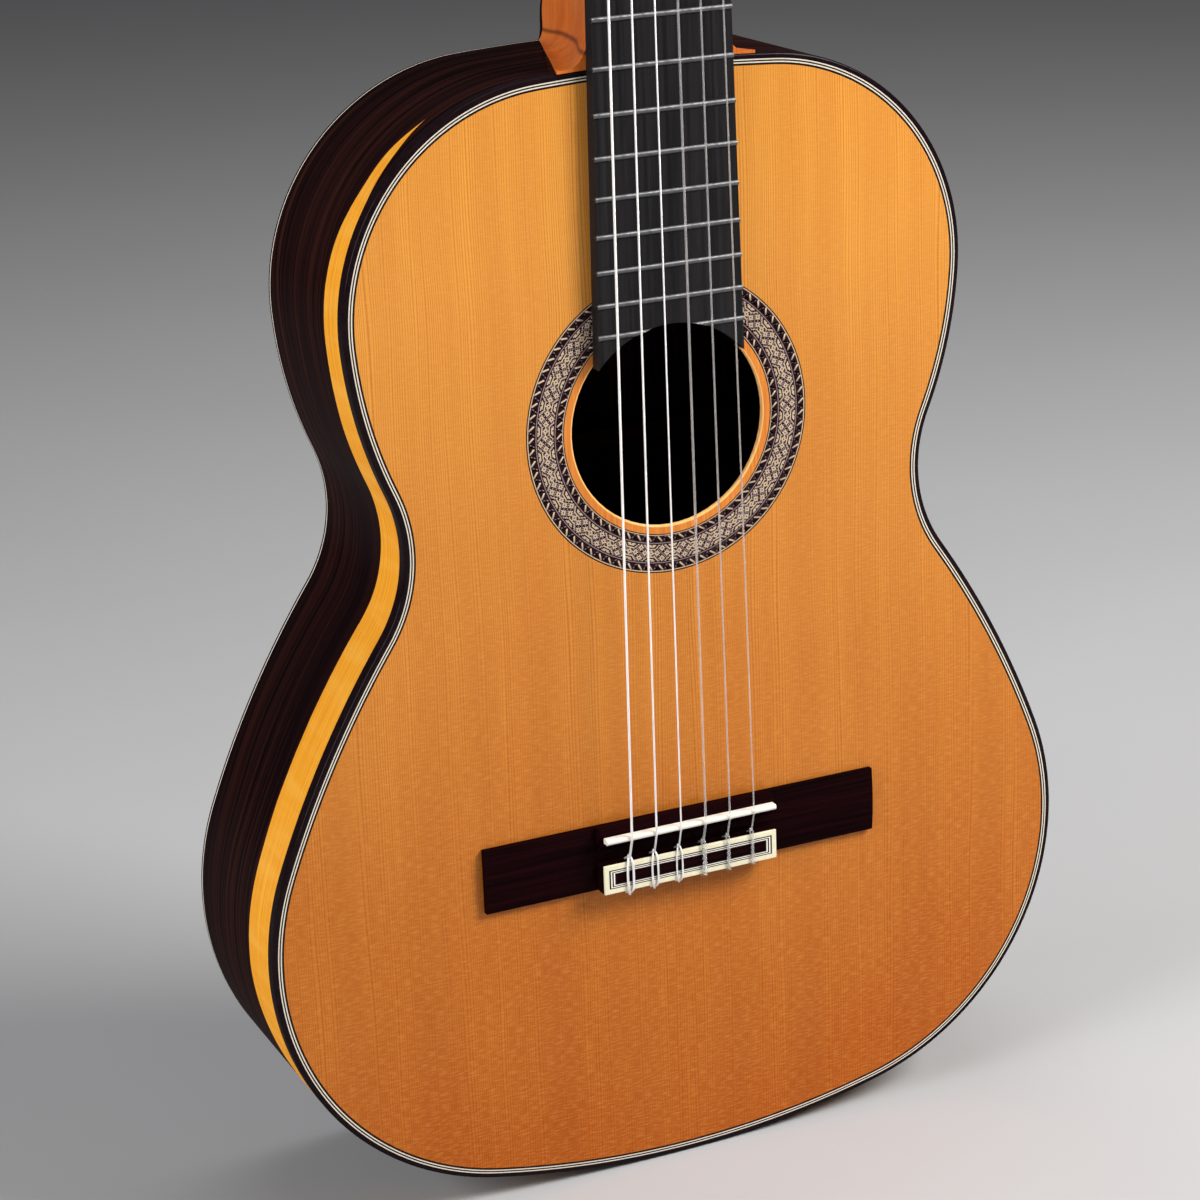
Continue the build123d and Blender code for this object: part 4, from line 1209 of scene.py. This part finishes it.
def make_button(number):
    """A flat oval pearly button with softly swelling sides, on its brass collar."""
    x = side_of(number) * GEAR_X
    z = roller_place(number) + WORM_OFFSET

    def squared(value):
        return copysign(abs(value) ** BUTTON_SQUARENESS, value)

    rings = []
    for rise, half_x, half_z in BUTTON_SECTIONS:
        rings.append([(x + squared(cos(2 * pi * k / 32)) * half_x, BUTTON_Y + rise,
                       z + squared(sin(2 * pi * k / 32)) * half_z) for k in range(32)])
    name, body = f"button_{number}_pearl", f"knob_{number}"
    shape = loft(rings)
    piece = add_shape(name, shape, PEARL, "button", [f"button_{number}"], body, place=at_head, sharp=60)
    smooth = piece.modifiers.new("smooth", "SUBSURF")
    smooth.levels = 1
    smooth.render_levels = 1
    rings = [[(x + across, y, z + up) for up, across in circle(28, radius, radius)] for y, radius in COLLAR]
    add_shape(f"button_{number}_collar", loft(rings), BRASS, "brass", (), body, place=at_head)


# ---------------------------------------------------------------- build

make_soundboard()
make_edges()
make_rib("rib_bass", "side_bass", -1)
make_rib("rib_treble", "side_treble", 1)
make_back_leaf("back_leaf_bass", "back_bass", -1)
make_back_leaf("back_leaf_treble", "back_treble", 1)
make_back_strip()
make_tail_strip()
make_rosette()

for node in ("fan_braces", "harmonic_bars"):
    repaint(node, INNER_SPRUCE)
# the linings, back braces and tail block get the nearly black mahogany, painted shade inside the box
for node in ("linings", "back_braces", "tail_block"):
    repaint(node, SHADED_MAHOGANY)

for node, width, material, slot in (
    ("neck", 0.6, NECK_CEDAR, "neck_wood"),
    ("heel", 0.5, HEEL_CEDAR, "neck_wood"),
    ("heel_cap", 0.4, ROSEWOOD, "rosewood"),
    ("head_veneer", 0.5, VENEER_WOOD, "rosewood"),
    ("fingerboard", 0.3, EBONY, "ebony"),
    ("nut", 0.25, BONE, "bone"),
    ("bridge", 0.45, BRIDGE_WOOD, "bridge_wood"),
    ("saddle", 0.3, BONE, "bone"),
):
    soften(node, width, material, slot)
repaint("frets", NICKEL)
repaint("plate_screws", STEEL)
make_inlay()

for number in STRING_RADIUS:
    make_string(number)
    make_roller(number)
    make_button(number)
    repaint(f"worm_{number}", STEEL)
    soften(f"gear_{number}", 0.12, BRASS, "brass", segments=2)
for node in ("plate_bass", "plate_treble"):
    soften(node, 0.25, BRASS, "brass")

# ---------------------------------------------------------------- studio

# the floor's reach and its gap under the tail, in metres
FLOOR_REACH = 9.0
FLOOR_GAP = 0.0005
FLOOR_STEPS = 6


def make_floor():
    """A pale floor level with the tail."""
    places = evenly(-FLOOR_REACH, FLOOR_REACH, FLOOR_STEPS)
    floor_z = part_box("top_binding")[0].z - FLOOR_GAP
    points = [(x, y, floor_z) for x in places for y in places]
    row = FLOOR_STEPS + 1
    faces = [[i * row + j, (i + 1) * row + j, (i + 1) * row + j + 1, i * row + j + 1]
             for i in range(FLOOR_STEPS) for j in range(FLOOR_STEPS)]
    mesh = make_mesh("floor", points, faces, place=lambda *p: Vector(p))
    mesh.materials.append(FLOOR)
    add_object("floor", mesh)


def add_light(name, place, target, size, power, colour=(1.0, 1.0, 1.0)):
    """A soft rectangular lamp that faces a point."""
    lamp = bpy.data.lights.new(name, "AREA")
    lamp.shape = "RECTANGLE"
    lamp.size, lamp.size_y = size
    lamp.energy = power
    lamp.color = colour
    holder = add_object(name, lamp)
    holder.location = place
    holder.rotation_euler = (target - place).to_track_quat("-Z", "Y").to_euler()


def add_world(strength):
    """Even pale surroundings."""
    world = bpy.data.worlds.new("studio")
    world.use_nodes = True
    background = world.node_tree.nodes["Background"]
    background.inputs["Color"].default_value = (0.80, 0.82, 0.86, 1.0)
    background.inputs["Strength"].default_value = strength
    bpy.context.scene.world = world


def add_camera(place, azimuth, elevation, roll, lens):
    """A camera that looks along an azimuth from +Y towards +X."""
    azimuth, elevation, roll = radians(azimuth), radians(elevation), radians(roll)
    forward = Vector((sin(azimuth) * cos(elevation), cos(azimuth) * cos(elevation), sin(elevation)))
    level = forward.cross(Vector((0, 0, 1))).normalized()
    upright = level.cross(forward)
    right = level * cos(roll) + upright * sin(roll)
    up = right.cross(forward)
    camera = add_object("camera", bpy.data.cameras.new("camera"))
    camera.data.lens = lens
    camera.data.clip_start = 0.05
    camera.matrix_world = Matrix.Translation(place) @ Matrix((right, up, -forward)).transposed().to_4x4()
    bpy.context.scene.camera = camera


make_floor()
middle = at(0, 0, 60)
add_light("key", middle + Vector((1.3, -1.0, 1.35)), middle, (0.9, 0.9), 70, (1.0, 0.98, 0.95))
add_light("fill", middle + Vector((-2.3, -0.5, 1.0)), middle, (1.2, 1.4), 50)
add_light("top", middle + Vector((0.2, 0.5, 2.4)), middle, (1.6, 1.0), 14)
add_world(0.09)
add_camera(at(-538.4, -1116.2, 516.6), 24.312, -18.600, -2.232, 93.155)
bpy.context.scene.view_settings.view_transform = "Standard"
